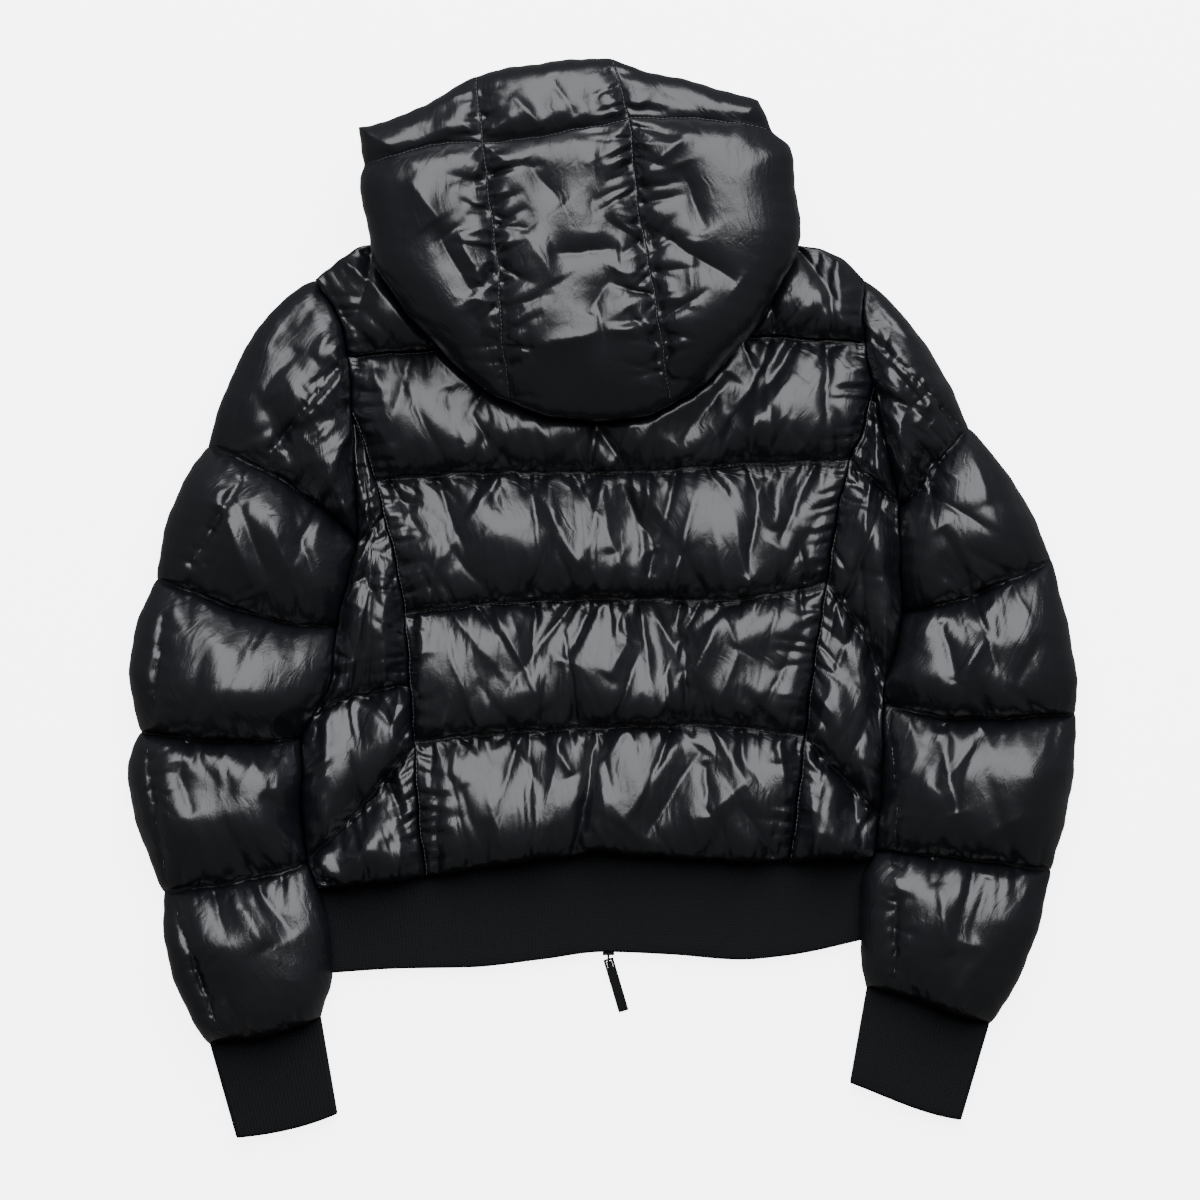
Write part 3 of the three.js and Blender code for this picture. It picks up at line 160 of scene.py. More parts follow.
# Seams down the sleeves, sewn through: from x, y to x, y
SLEEVE_SEAMS = {
    "left": [(-200, 461, -264, 381), (-279, 371, -321, 299), (-340, 266, -349, 186), (-354, 162, -339, 57),
             (-335, 45, -296, -64)],
    "right": [(206, 482, 279, 410), (220, 201, 229, 128), (229, 116, 227, 60), (228, 50, 227, -29)],
}
SEAM_GROOVE = (8, 5)  # depth and width
HOOD_FOLDS = [
    (-41, 542, 14, 546, 7, 9), (34, 564, 104, 520, 8, 9), (-54, 470, 0, 482, -7, 10),
    (0, 482, 45, 487, -6, 10), (-132, 565, -98, 510, 8, 12), (-150, 600, -118, 560, -5, 9),
    (-60, 615, -30, 580, 5, 12), (28, 600, 70, 640, -6, 9), (60, 610, 80, 560, 6, 8),
    (70, 555, 68, 500, -4, 6), (-112, 560, -92, 520, -6, 8), (-100, 500, -80, 450, 6, 8),
    (-8, 560, -5, 640, 3, 10), (10, 530, -10, 495, 5, 9), (-60, 560, -35, 520, -5, 10),
    (20, 500, 50, 460, 6, 7), (-70, 664, -45, 640, -5, 6), (-40, 680, -20, 648, 5, 7),
    (0, 668, 20, 655, -4, 7), (40, 672, 80, 652, 4, 8)]
BACK_FOLDS = [
    (14, 366, 40, 316, 9, 10), (-52, 363, -15, 299, -6, 10), (0, 370, 6, 312, -5, 10),
    (30, 370, 62, 312, -6, 10), (124, 371, 112, 293, 8, 9), (138, 376, 134, 330, -5, 8),
    (158, 376, 138, 318, 5, 9), (40, 316, 37, 293, 5, 5), (-160, 362, -100, 316, 4, 21),
    (-82, 264, -44, 191, -7, 10), (37, 276, 63, 220, 9, 9), (98, 276, 66, 209, -7, 9),
    (107, 235, 84, 186, -5, 9), (65, 249, 65, 174, 7, 5), (14, 276, 20, 244, -5, 6),
    (20, 244, 5, 215, -5, 8), (-9, 273, -27, 229, 6, 8), (-32, 226, -32, 177, 5, 6),
    (-5, 174, -15, 93, 9, 6), (60, 168, 14, 99, -8, 12), (78, 160, 34, 92, 7, 12),
    (118, 139, 84, 110, -5, 12), (-112, 168, -116, 134, -4, 6), (-38, 168, -24, 139, -5, 6),
    (81, 150, 81, 108, 5, 6), (-111, 131, -90, 73, 5, 10), (-58, 420, -30, 385, -5, 12),
    (-10, 412, 20, 384, 3, 9), (60, 440, 20, 386, -6, 12), (100, 450, 60, 395, 6, 13),
    (150, 452, 110, 400, -5, 13), (-120, 440, -110, 392, 4, 12), (-200, 130, -160, 100, 4, 12),
    (-190, 300, -165, 260, 5, 10), (190, 300, 200, 240, 5, 12)]
# Creases that gathering leaves along seams: spacing, shortest and longest, least and most depth, width
PUCKERS = (9, 8, 26, 1.4, 3.6, 2.8)
SHORT_CREASES = (17, 18, 52, 1.6, 4.4, 4.6)
LONG_CREASES = (24, 45, 110, 3.5, 8.5, 9.5)
SLEEVE_CREASES = (40, 30, 90, 3.0, 7.0, 9.0)
CAP_CREASES = (12, 25, 85, 2.2, 5.5, 5.2)
SIDE_PUCKERS = (8, 9, 40, 1.8, 4.8, 3.2)
HOOD_CREASES = (14, 14, 48, 2.5, 5.5, 4.4)
SWELLS = (4.8, 42)  # height and spacing of the soft unevenness of the filling


# Lines and curves
START, END = np.array(0.0), np.array(1.0)  # the two ends of every curve


def length_of(way):
    return np.sqrt(np.einsum("...i,...i", way, way)) + 1e-9


def run_along(line):
    """The way covered at each point of a line, or of many lines side by side."""
    steps = length_of(np.diff(line, axis=0))
    return np.concatenate([np.zeros((1, *steps.shape[1:])), np.cumsum(steps, axis=0)])


def through(rows, flip=False):
    """A smooth curve through (place, value) rows that never overshoots them."""
    table = np.array(sorted((b, a) if flip else (a, b) for a, b in rows), float)
    at, value = table.T
    step = np.diff(value) / np.diff(at)
    slope = np.concatenate([step[:1], np.zeros(len(at) - 2), step[-1:]])
    product = step[:-1] * step[1:]
    mean = np.where(product > 0, step[:-1] + step[1:], 1)
    slope[1:-1] = np.where(product > 0, 2 * product / mean, 0)

    def curve(x):
        i = np.clip(np.searchsorted(at, x) - 1, 0, len(at) - 2)
        span = at[i + 1] - at[i]
        t = (x - at[i]) / span
        start = (1 + 2 * t) * (1 - t) ** 2 * value[i] + t * (1 - t) ** 2 * span * slope[i]
        return start + t * t * (3 - 2 * t) * value[i + 1] - t * t * (1 - t) * span * slope[i + 1]

    return curve


def upright(rows):
    return through(rows, flip=True)


SIDES = {"left": -1, "right": 1}
left_arm, right_arm = upright(LEFT_ARM), upright(RIGHT_ARM)
ARMS = {"left": left_arm, "right": right_arm}
left_princess, right_princess = upright(LEFT_PRINCESS), upright(RIGHT_PRINCESS)
hood_left_edge, hood_right_edge = upright(HOOD_LEFT_EDGE), upright(HOOD_RIGHT_EDGE)
hood_left_seam, hood_right_seam = upright(HOOD_LEFT_SEAM), upright(HOOD_RIGHT_SEAM)
shoulders, hem_seam, hem_edge = through(SHOULDERS), through(HEM_SEAM), through(HEM_EDGE)
hood_top_edge, band_seam, crown = through(HOOD_TOP_EDGE), through(BAND_SEAM), through(CROWN)


def mix(a, b, t):
    return a + (b - a) * t


def smooth(x, low, high):
    t = np.clip((x - low) / (high - low), 0, 1)
    return t * t * (3 - 2 * t)


def down(seam, top, bottom):
    def curve(t):
        y = mix(top, bottom, t)
        return np.stack([seam(y), y], -1)
    return curve


def along(seam, left, right):
    def curve(t):
        x = mix(left, right, t)
        return np.stack([x, seam(x)], -1)
    return curve


def straight(start, end):
    start, end = np.array(start, float), np.array(end, float)
    return lambda t: start + (end - start) * np.asarray(t)[..., None]


def sagging(start, end, sag_start, sag_end):
    """A line that sags towards the hem or cuff, by different amounts near its two ends."""
    start, end = np.array(start, float), np.array(end, float)
    way = (end - start) / np.linalg.norm(end - start)
    normal = np.array([way[1], -way[0]])
    normal *= 1 if normal[1] < 0 else -1

    def curve(t):
        t = np.asarray(t)[..., None]
        sag = sag_start * 3 * t * (1 - t) ** 2 + sag_end * 3 * t * t * (1 - t)
        return start + (end - start) * t + normal * sag
    return curve


def arc_through(start, middle, end):
    start, middle, end = (np.array(p, float) for p in (start, middle, end))

    def curve(t):
        t = np.asarray(t)[..., None]
        return start + (end - start) * t + 4 * t * (1 - t) * (middle - (start + end) / 2)
    return curve


def patch(top, bottom, left, right):
    """The plan between four curves, as a function of u across and v down."""
    corners = top(START), top(END), bottom(START), bottom(END)

    def surface(u, v):
        uu, vv = u[..., None], v[..., None]
        across = mix(top(u), bottom(u), vv) + mix(left(v), right(v), uu)
        return across - mix(mix(corners[0], corners[1], uu), mix(corners[2], corners[3], uu), vv)
    return surface


def stacked(lines, ends, left, right):
    """The plans between lines one below the other, which end on two curves at the y values in ends."""
    return [patch(lines[i], lines[i + 1], down(left, ends[i][0], ends[i + 1][0]),
                  down(right, ends[i][1], ends[i + 1][1])) for i in range(len(lines) - 1)]


# Folds and creases
FOLD_SHARPNESS = 1.15
CREASE_SLANT = 0.55
INWARD_CREASES = 0.6  # their share; the others stand up, and less


def line_distance(points, start, end):
    start, end = np.array(start, float), np.array(end, float)
    way = end - start
    t = np.clip(((points - start) @ way) / (way @ way), 0, 1)
    return np.linalg.norm(points - start - t[..., None] * way, axis=-1)


def fold_depth(points, folds, taper=False):
    """How deep folds are at points; with taper they start narrow and deep and run out."""
    depth = np.zeros(points.shape[:-1])
    for x0, y0, x1, y1, deep, wide in folds:
        start, way = np.array((x0, y0), float), np.array((x1 - x0, y1 - y0), float)
        reach = abs(way) / 2 + 3 * wide
        near = (np.abs(points - start - way / 2) < reach).all(axis=-1)
        offset = points[near] - start
        t = np.clip((offset @ way) / (way @ way), 0, 1)
        distance = length_of(offset - t[:, None] * way)
        share = (1 - t) ** 0.7 if taper else np.sqrt(4 * t * (1 - t))
        width = wide * (0.4 + 0.6 * t) if taper else wide
        depth[near] += deep * share * np.exp(-(distance / width) ** FOLD_SHARPNESS)
    return depth


def creases_from(near_edge, far_edge, kind):
    """Creases that start on one edge of a panel and run towards the other, slanting both ways."""
    spacing, shortest, longest, least, most, wide = kind
    edge_length = run_along(near_edge(np.linspace(0, 1, 200)))[-1]
    creases = []
    at = rng.uniform(0.3, 1) * spacing
    while at < edge_length - spacing * 0.3:
        share = at / edge_length
        start = near_edge(np.array(share))
        depth = float(np.linalg.norm(far_edge(np.array(share)) - start))
        slant = rng.normal(0, CREASE_SLANT) * depth / edge_length
        way = far_edge(np.array(np.clip(share + slant, 0, 1))) - start
        reach = min(rng.uniform(shortest, longest), depth)
        end = start + way / np.linalg.norm(way) * reach
        sign = 1 if rng.random() < INWARD_CREASES else -0.8
        creases.append((*start, *end, sign * rng.uniform(least, most), wide * rng.uniform(0.8, 1.3)))
        at += spacing * rng.uniform(0.55, 1.5)
    return creases


def edges_of(area):
    """A plan's upper, lower, left and right edge, as curves."""
    def edge(side, place):
        def curve(t):
            t = np.asarray(t, float)
            fixed = np.full(t.shape, float(place))
            return area(t, fixed) if side == "across" else area(fixed, t)
        return curve
    return edge("across", 0), edge("across", 1), edge("down", 0), edge("down", 1)


def panel_creases(areas, sides, quilted=True, long_creases=LONG_CREASES):
    """Creases along a panel's seams; sides says whether its left and right edges are sewn."""
    creases = []
    for area in areas:
        top, bottom, left, right = edges_of(area)
        if quilted:
            for near_edge, far_edge in ((top, bottom), (bottom, top)):
                for kind in (PUCKERS, SHORT_CREASES, long_creases):
                    creases += creases_from(near_edge, far_edge, kind)
        sewn = [pair for pair, is_sewn in zip(((left, right), (right, left)), sides) if is_sewn]
        for kind in (SIDE_PUCKERS,) if quilted else (SIDE_PUCKERS, HOOD_CREASES):
            for near_edge, far_edge in sewn:
                creases += creases_from(near_edge, far_edge, kind)
    return creases


# Heights over the plan
def hood_outline():
    t = np.arange(30) / 30
    return np.concatenate([down(hood_left_edge, 428, 641)(t), along(hood_top_edge, -189, 121)(t),
                           down(hood_right_edge, 662, 427)(t), along(crown, 53, -71)(t[::3])])


OUTLINE = hood_outline()


def hood_depth(points):
    """Distance to the hood's outline, positive inside."""
    nearest = np.full(points.shape[:-1], 1e9)
    inside = np.zeros(points.shape[:-1], bool)
    for a, b in zip(OUTLINE, np.roll(OUTLINE, -1, axis=0)):
        nearest = np.minimum(nearest, line_distance(points, a, b))
        if a[1] != b[1]:
            crosses = (a[1] > points[..., 1]) != (b[1] > points[..., 1])
            reach = a[0] + (points[..., 1] - a[1]) / (b[1] - a[1]) * (b[0] - a[0])
            inside ^= crosses & (points[..., 0] < reach)
    return np.where(inside, nearest, -nearest)


def uneven(xy):
    """Plan points moved by up to a millimetre or so, as sewing leaves them; neighbours move alike."""
    x, y = xy[..., 0], xy[..., 1]
    shift_x = 0.5 * np.sin(y / 6.3 + 2 * np.sin(x / 31)) + 0.2 * np.sin(y / 2.3 + x / 9)
    shift_y = 0.5 * np.sin(x / 7.1 + 2 * np.sin(y / 37)) + 0.25 * np.sin(x / 2.6 + y / 8)
    return xy + np.stack([shift_x, shift_y], -1)


def slumped(v, crest, fullness):
    """The rise of a puff from its upper seam, v = 0, up to its crest and down to its lower seam, v = 1."""
    rising = np.sin(math.pi / 2 * np.clip(v / crest, 0, 1))
    falling = round_rise((1 - v) / (1 - crest)) ** 0.8
    return np.where(v < crest, mix(rising, round_rise(v / crest), fullness), falling)


def round_rise(reach):
    return np.sqrt(1 - (1 - np.clip(reach, 0, 1)) ** 2)


def lining(y):
    return mix(LINING_AT_HEM, LINING_AT_NECK, (y - HEM_SEAM_Y) / (NECK_Y - HEM_SEAM_Y))


def back_height(xy, v, to_side, to_quilting, creases):
    puff = round_rise(to_side / PUFF_RADIUS) ** 0.9 * slumped(v, *BACK_CREST)
    easing = smooth(np.minimum(to_side, to_quilting), 0, SEAM_EASE)
    folded = fold_depth(xy, creases, taper=True) + fold_depth(xy, BACK_FOLDS) * smooth(puff, 0, 0.5)
    free = lining(xy[..., 1]) + SEAM_RISE + PUFF_RISE * puff - easing * folded
    from_hood = -hood_depth(xy)
    return mix(np.minimum(free, PRESSED), free, smooth(from_hood, *PRESSED_TO_FREE))


def hood_height(xy, _, to_side, to_quilting, creases):
    rise = round_rise(hood_depth(xy) / HOOD_ROUND)
    x, y = xy[..., 0], xy[..., 1]
    to_seam = np.minimum(np.abs(x - hood_left_seam(y)), np.abs(x - hood_right_seam(y)))
    to_seam = np.minimum(to_seam, np.abs(y - band_seam(x)))
    dip = HOOD_SEAM_DIP * rise * np.exp(-(to_seam / HOOD_SEAM_WIDTH) ** 1.3)
    easing = smooth(np.minimum(to_side, to_quilting), 0, SEAM_EASE) * rise
    folded = fold_depth(xy, creases, taper=True) + fold_depth(xy, HOOD_FOLDS)
    at_crown = 1 - smooth(y, *CROWN_FADE)
    edge = HOOD_EDGE - EDGE_DROP * at_crown
    top = HOOD_TOP - CROWN_DROP * at_crown - HOOD_TILT * np.clip(y - TILT_FROM_Y, 0, None)
    height = mix(edge, top, rise) - dip - easing * folded
    return np.maximum(height, edge)


# Soft noise, the same on every run
def soft_noise(shape, cells, strength):
    """Smooth noise over a grid, from a coarse random grid."""
    coarse = rng.standard_normal((max(int(cells[0]), 2) + 3, max(int(cells[1]), 2) + 3))
    return strength * enlarged(coarse, shape)


# The cloth: a grid of points that keeps the lengths of its threads
COARSE_STEP = 6  # about the size of the coarse grid's cells
SETTLE_STEPS = (90, 50, 24)  # on the coarse, the middle and the fine grid
SMOOTHING = (1, 3, 6)  # the same three, as a multiple of how loose the cloth is
SLACK = 0.012  # extra length of the threads
PUSH = 0.04  # of the filling, in millimetres a step
TETHER = 0.03  # pull towards the planned shape
KEPT_SPEED = 0.88
HOLDS = 4  # how often all threads are held in a step
THREAD_HOLD, SKEW_HOLD = 0.95, 0.25
LUMPS, RIPPLES = 1.0, 0.05  # noise that the coarse and the finer grids start from


def hold(a, b, rest, weight_a, weight_b, strength):
    way = b - a
    length = length_of(way)
    move = (strength * (length - rest) / (length * (weight_a + weight_b + 1e-6)))[..., None] * way
    a += weight_a[..., None] * move
    b -= weight_b[..., None] * move


EVERY = slice(None)


def thread_pairs():
    """Pairs of neighbouring points along, down and across the grid; no point is twice in one set."""
    sets = []
    for first in (0, 1):
        here, after = slice(first, -1, 2), slice(first + 1, None, 2)
        sets.append(("along", (EVERY, here), (EVERY, after)))
        sets.append(("down", (here, EVERY), (after, EVERY)))
        sets.append(("across", (here, slice(None, -1)), (after, slice(1, None))))
        sets.append(("across", (here, slice(1, None)), (after, slice(None, -1))))
    return sets


def grid_normals(p):
    def change(q):
        return np.concatenate([q[1:2] - q[:1], q[2:] - q[:-2], q[-1:] - q[-2:-1]])
    normal = np.cross(change(p), change(p.swapaxes(0, 1)).swapaxes(0, 1))
    return normal / length_of(normal)[..., None]


def settle(p, shape, slack, free, steps, push, bend, floor):
    """Moves the cloth's points until its threads have their lengths, while the filling pushes out."""
    p = p.astype(np.float32)
    shape = shape.astype(np.float32)
    free = free.astype(np.float32)
    scale = {"along": 1 + slack[0], "down": 1 + slack[1]}
    scale["across"] = np.sqrt((scale["along"] ** 2 + scale["down"] ** 2) / 2)
    pairs = [(a, b, (length_of(shape[b] - shape[a]) * scale[name][a]).astype(np.float32),
              SKEW_HOLD if name == "across" else THREAD_HOLD) for name, a, b in thread_pairs()]
    last = p.copy()
    for _ in range(steps):
        drift = KEPT_SPEED * (p - last)
        last = p.copy()
        p += free[..., None] * (drift + push * grid_normals(p))
        for _ in range(HOLDS):
            for a, b, rest, strength in pairs:
                hold(p[a], p[b], rest, free[a], free[b], strength)
        for grid, weight in ((p.swapaxes(0, 1), free.T), (p, free)):
            even = (grid[2:] + grid[:-2]) / 2
            grid[1:-1] += (weight[1:-1] * bend)[..., None] * (even - grid[1:-1])
        p += (free * TETHER)[..., None] * (shape - p)
        p[..., 2] = np.maximum(p[..., 2], floor)
    return p.astype(float)


def enlarge(values, count):
    """More values along the first axis, on a smooth curve through the given ones."""
    at = np.linspace(0, len(values) - 1, count)
    i = np.minimum(at.astype(int), len(values) - 2)
    t = (at - i).reshape((-1,) + (1,) * (values.ndim - 1))
    before, here = values[np.maximum(i - 1, 0)], values[i]
    after, beyond = values[i + 1], values[np.minimum(i + 2, len(values) - 1)]
    return 0.5 * (2 * here + (after - before) * t + (2 * before - 5 * here + 4 * after - beyond) * t ** 2
                  + (3 * here - before - 3 * after + beyond) * t ** 3)


def enlarged(field, shape):
    return enlarge(enlarge(field, shape[0]).swapaxes(0, 1), shape[1]).swapaxes(0, 1)


def swelling(swells, counts, shape):
    """The filling's unevenness over the panel, nothing at its seams."""
    down_rows = [np.sin(math.pi * np.linspace(0, 1, count + 1)[1:]) for count in counts]
    rows = np.concatenate([[0], *down_rows]).clip(0) ** 0.7
    columns = np.sin(math.pi * np.linspace(0, 1, shape[1])).clip(0) ** 0.5
    return enlarged(swells, shape) * rows[:, None] * columns


def make_cloth(shape_at, rows, columns, loose=0.03, gather=0.08, floor=0.4, swell=1.0):
    """Cloth over a shape, from a coarse grid to a fine one. rows lists the steps of each quilted row."""
    moved = None
    high, spacing = SWELLS
    cells = [count * COARSE_STEP // spacing + 3 for count in (sum(rows), columns)]
    swells = swell * high * rng.standard_normal(cells)
    for level in range(FINE + 1):
        scale = 2 ** level
        counts = [count * scale for count in rows]
        smooth_shape, pinned = shape_at(counts, columns * scale)
        shape = smooth_shape.shape[:2]
        free = 1.0 - pinned
        smooth_shape[..., 2] += swelling(swells, counts, shape)
        ease = 1 + soft_noise(shape, (shape[0] / scale / 7, shape[1] / scale / 5), 0.45)
        slack_along = SLACK * np.clip(ease, 0.1, 2.2)
        slack_down = SLACK * np.clip(2 - ease, 0.1, 2.2)
        slack_along[:, :-1] += gathering(smooth_shape, counts, gather)
        p = smooth_shape.copy()
        if moved is None:
            p[..., 2] += free * soft_noise(shape, (shape[0] / 3, shape[1] / 2.2), LUMPS)
        else:
            p += enlarged(moved, shape)
            p[..., 2] += free * soft_noise(shape, (shape[0] / 4, shape[1] / 3), RIPPLES)
        p = np.where(pinned[..., None] > 0, smooth_shape, p)
        p = settle(p, smooth_shape, (slack_along, slack_down), free, SETTLE_STEPS[level], PUSH / scale,
                   loose * SMOOTHING[level], floor)
        moved = p - smooth_shape
    return p


def gathering(shape, counts, share):
    """Extra length near quilting seams, where the full width of a puff is gathered into the seam."""
    lengths = length_of(np.diff(shape, axis=1))
    extra = np.zeros_like(lengths)
    start = 0
    for count in counts:
        row = slice(start, start + count + 1)
        ratio = lengths[row].max(axis=0) / lengths[row] - 1
        extra[row] = np.maximum(extra[row], share * np.clip(ratio, 0, 0.6))
        start += count
    return extra


def grid_over(areas, counts, columns, height, creases=()):
    """Points over a stack of plan patches, and which of them are sewn down."""
    rows, pins = [], []
    for index, (area, count) in enumerate(zip(areas, counts)):
        v_steps = np.linspace(0, 1, count + 1)[0 if index == 0 else 1:]
        u, v = np.meshgrid(np.linspace(0, 1, columns + 1), v_steps)
        xy = area(u, v)
        width = length_of(area(np.zeros_like(v), v) - area(np.ones_like(v), v))
        depth = length_of(area(u, np.zeros_like(u)) - area(u, np.ones_like(u)))
        to_side = np.minimum(u, 1 - u) * width
        to_quilting = np.minimum(v, 1 - v) * depth
        z = height(xy, v, to_side, to_quilting, creases)
        rows.append(np.concatenate([uneven(xy), z[..., None]], -1))
        pin = (v == 0) | (v == 1) | (u == 0) | (u == 1)
        pins.append(pin.astype(float))
    return np.concatenate(rows), np.concatenate(pins)


# Meshes
def to_frame(points):
    return points.reshape(-1, 3) * MM + ORIGIN


def add_object(name, data):
    piece = bpy.data.objects.new(name, data)
    bpy.context.scene.collection.objects.link(piece)
    return piece


def add_mesh(name, points, faces, uv=None, smooth_shading=True):
    mesh = bpy.data.meshes.new(name)
    mesh.from_pydata(to_frame(points).tolist(), [], faces)
    if smooth_shading:
        mesh.polygons.foreach_set("use_smooth", np.ones(len(mesh.polygons), bool))
    if uv is not None:
        layer = mesh.uv_layers.new(name="cloth")
        loops = np.empty(len(mesh.loops), int)
        mesh.loops.foreach_get("vertex_index", loops)
        layer.data.foreach_set("uv", (uv.reshape(-1, 2)[loops] * MM).ravel())
    solid = bmesh.new()
    solid.from_mesh(mesh)
    bmesh.ops.recalc_face_normals(solid, faces=solid.faces)
    solid.to_mesh(mesh)
    solid.free()
    return add_object(name, mesh)


def grid_faces(rows, columns, closed=False):
    last = columns if closed else columns - 1
    r, c = np.meshgrid(np.arange(rows - 1), np.arange(last), indexing="ij")
    a = r * columns + c
    b = r * columns + (c + 1) % columns
    return np.stack([a, a + columns, b + columns, b], -1).reshape(-1, 4).tolist()


def tube_faces(rows, columns, start=0):
    """Faces through rings of points, with a cap at either end."""
    faces = grid_faces(rows, columns, closed=True)
    faces += [range(columns), range((rows - 1) * columns, rows * columns)]
    return [[start + i for i in face] for face in faces]


def cloth_uv(p):
    return np.stack([run_along(p.swapaxes(0, 1)).T, run_along(p)], -1)


def add_pad(name, p, base):
    """A padded panel: its top cloth, sides that turn down and in, and an underside on its base."""
    rows, columns = p.shape[:2]
    rim = np.concatenate([np.arange(columns), (np.arange(1, rows) * columns + columns - 1),
                          (rows - 1) * columns + np.arange(columns - 2, -1, -1),
                          np.arange(rows - 2, 0, -1) * columns])
    top = p.reshape(-1, 3)[rim]
    inward = p.reshape(-1, 3).mean(axis=0) - top
    inward[:, 2] = 0
    inward /= length_of(inward)[:, None]
    low = base(top[:, 1]) if callable(base) else np.full(len(top), float(base))
    middle, bottom = top + inward * 0.5, top + inward * 2.0
    middle[:, 2] = mix(low, top[:, 2], 0.45)
    bottom[:, 2] = low
    points = np.concatenate([p.reshape(-1, 3), middle, bottom])
    faces = grid_faces(rows, columns)
    count = len(rim)
    first = rows * columns
    for i in range(count):
        j = (i + 1) % count
        faces.append([int(rim[i]), int(rim[j]), first + j, first + i])
        faces.append([first + i, first + j, first + count + j, first + count + i])
    faces.append([first + count + i for i in range(count)])
    uv = np.concatenate([cloth_uv(p).reshape(-1, 2), np.zeros((2 * count, 2))])
    return add_mesh(name, points, faces, uv)


BOX_FACES = [(0, 3, 2, 1), (4, 5, 6, 7), (0, 1, 5, 4), (1, 2, 6, 5), (2, 3, 7, 6), (3, 0, 4, 7)]


def add_blocks(name, blocks, faces=BOX_FACES):
    """A piece of blocks that each have eight corners."""
    all_faces = [[8 * block + i for i in face] for block in range(len(blocks)) for face in faces]
    return add_mesh(name, np.array(blocks, float), all_faces, smooth_shading=False)


# Materials
def set_inputs(material, node, inputs):
    """Gives each input its value, or a link where another node's output is given."""
    for name, value in inputs.items():
        if isinstance(value, bpy.types.NodeSocket):
            material.node_tree.links.new(value, node.inputs[name])
        else:
            node.inputs[name].default_value = value


def add_node(material, kind, inputs):
    node = material.node_tree.nodes.new("ShaderNode" + kind)
    set_inputs(material, node, inputs)
    return node


def add_texture(material, kind, place, inputs):
    return add_node(material, "Tex" + kind, {"Vector": place, **inputs})


def add_bump(material, texture, strength, distance, under=None):
    """The normal of a bump, laid over another one where under is given."""
    inputs = {"Height": texture.outputs["Fac"], "Strength": strength, "Distance": distance}
    if under:
        inputs["Normal"] = under
    return add_node(material, "Bump", inputs).outputs["Normal"]


def place_in_frame(material):
    return add_node(material, "TexCoord", {}).outputs["Object"]


def place_on_cloth(material):
    uv = add_node(material, "UVMap", {})
    uv.uv_map = "cloth"
    return uv.outputs["UV"]


def node_material(name, colour, roughness):
    material = bpy.data.materials.new(name)
    material.use_nodes = True
    shader = material.node_tree.nodes["Principled BSDF"]
    set_inputs(material, shader, {"Base Color": (*colour, 1), "Roughness": roughness})
    return material, shader


def nylon_material():
    """A thin glossy cloth: soft creases, streaks along its threads, a fine weave and patches of gloss."""
    material, shader = node_material("nylon", (0.0062, 0.0066, 0.0085), 0.28)
    place = place_in_frame(material)
    creases = add_texture(material, "Noise", place, {"Scale": 110, "Detail": 4, "Roughness": 0.6})
    normal = add_bump(material, creases, 0.3, 0.0009)
    stretch = add_node(material, "Mapping", {"Vector": place_on_cloth(material), "Scale": (95, 24, 1)})
    streaks = add_texture(material, "Noise", stretch.outputs["Vector"],
                          {"Scale": 1, "Detail": 3, "Distortion": 0.9})
    normal = add_bump(material, streaks, 0.42, 0.0016, normal)
    weave = add_texture(material, "Wave", place, {"Scale": 900, "Distortion": 0.4})
    normal = add_bump(material, weave, 0.08, 0.0001, normal)
    patches = add_texture(material, "Noise", place, {"Scale": 14})
    gloss = add_node(material, "MapRange", {"Value": patches.outputs["Fac"], "To Min": 0.23, "To Max": 0.33})
    set_inputs(material, shader, {"Normal": normal, "Roughness": gloss.outputs["Result"]})
    return material


def rib_material():
    material, shader = node_material("rib knit", (0.0034, 0.0038, 0.0052), 0.9)
    courses = add_texture(material, "Wave", place_on_cloth(material),
                          {"Scale": 160, "Distortion": 1.5, "Detail Scale": 2})
    courses.bands_direction = "Y"
    set_inputs(material, shader, {"Sheen Weight": 0.03, "Sheen Roughness": 0.5, "Specular IOR Level": 0.2,
                                  "Normal": add_bump(material, courses, 0.5, 0.0003)})
    return material


def plain_material(name, colour, roughness, grain_scale, grain_depth, others=()):
    """A plain surface with a fine grain; others are pairs of a shader input and its value."""
    material, shader = node_material(name, colour, roughness)
    grain = add_texture(material, "Noise", place_in_frame(material), {"Scale": grain_scale})
    set_inputs(material, shader, {"Normal": add_bump(material, grain, 0.4, grain_depth), **dict(others)})
    return material


NYLON = nylon_material()
RIB = rib_material()
# The thread has a colour of its own, but its grey, far lighter than the cloth's, is a painted highlight that
# stands in for glints on the stitches
THREAD_WITH_PAINTED_GLINT = plain_material("thread", (0.08, 0.08, 0.085), 0.6, 3000, 0.0001)
TAPE = plain_material("zip tape", (0.012, 0.012, 0.014), 0.8, 2500, 0.0002)
METAL = plain_material("zip metal", (0.03, 0.03, 0.032), 0.35, 800, 0.0001,
                       [("Metallic", 0.8)])
PULL = plain_material("pull tab", (0.004, 0.004, 0.0045), 0.6, 1500, 0.0001,
                      [("Specular IOR Level", 0.12)])


def finish_piece(piece, material, node=None):
    piece.data.materials.append(material)
    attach(piece, "jacket")
    if node:
        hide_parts(node)


# The back
def back_seam(row):
    left_x, right_x = back_left(row[0]), back_right(row[4])
    x = np.linspace(left_x, right_x, 5)
    return along(through(list(zip(x, row))), left_x, right_x)


def back_left(y):
    y = np.asarray(y, float)
    return np.where(y > LEFT_PRINCESS[0][1], left_arm(y), np.maximum(left_princess(y), left_arm(y)))


def back_right(y):
    y = np.asarray(y, float)
    return np.where(y > RIGHT_PRINCESS[0][1], right_arm(y), np.minimum(right_princess(y), right_arm(y)))


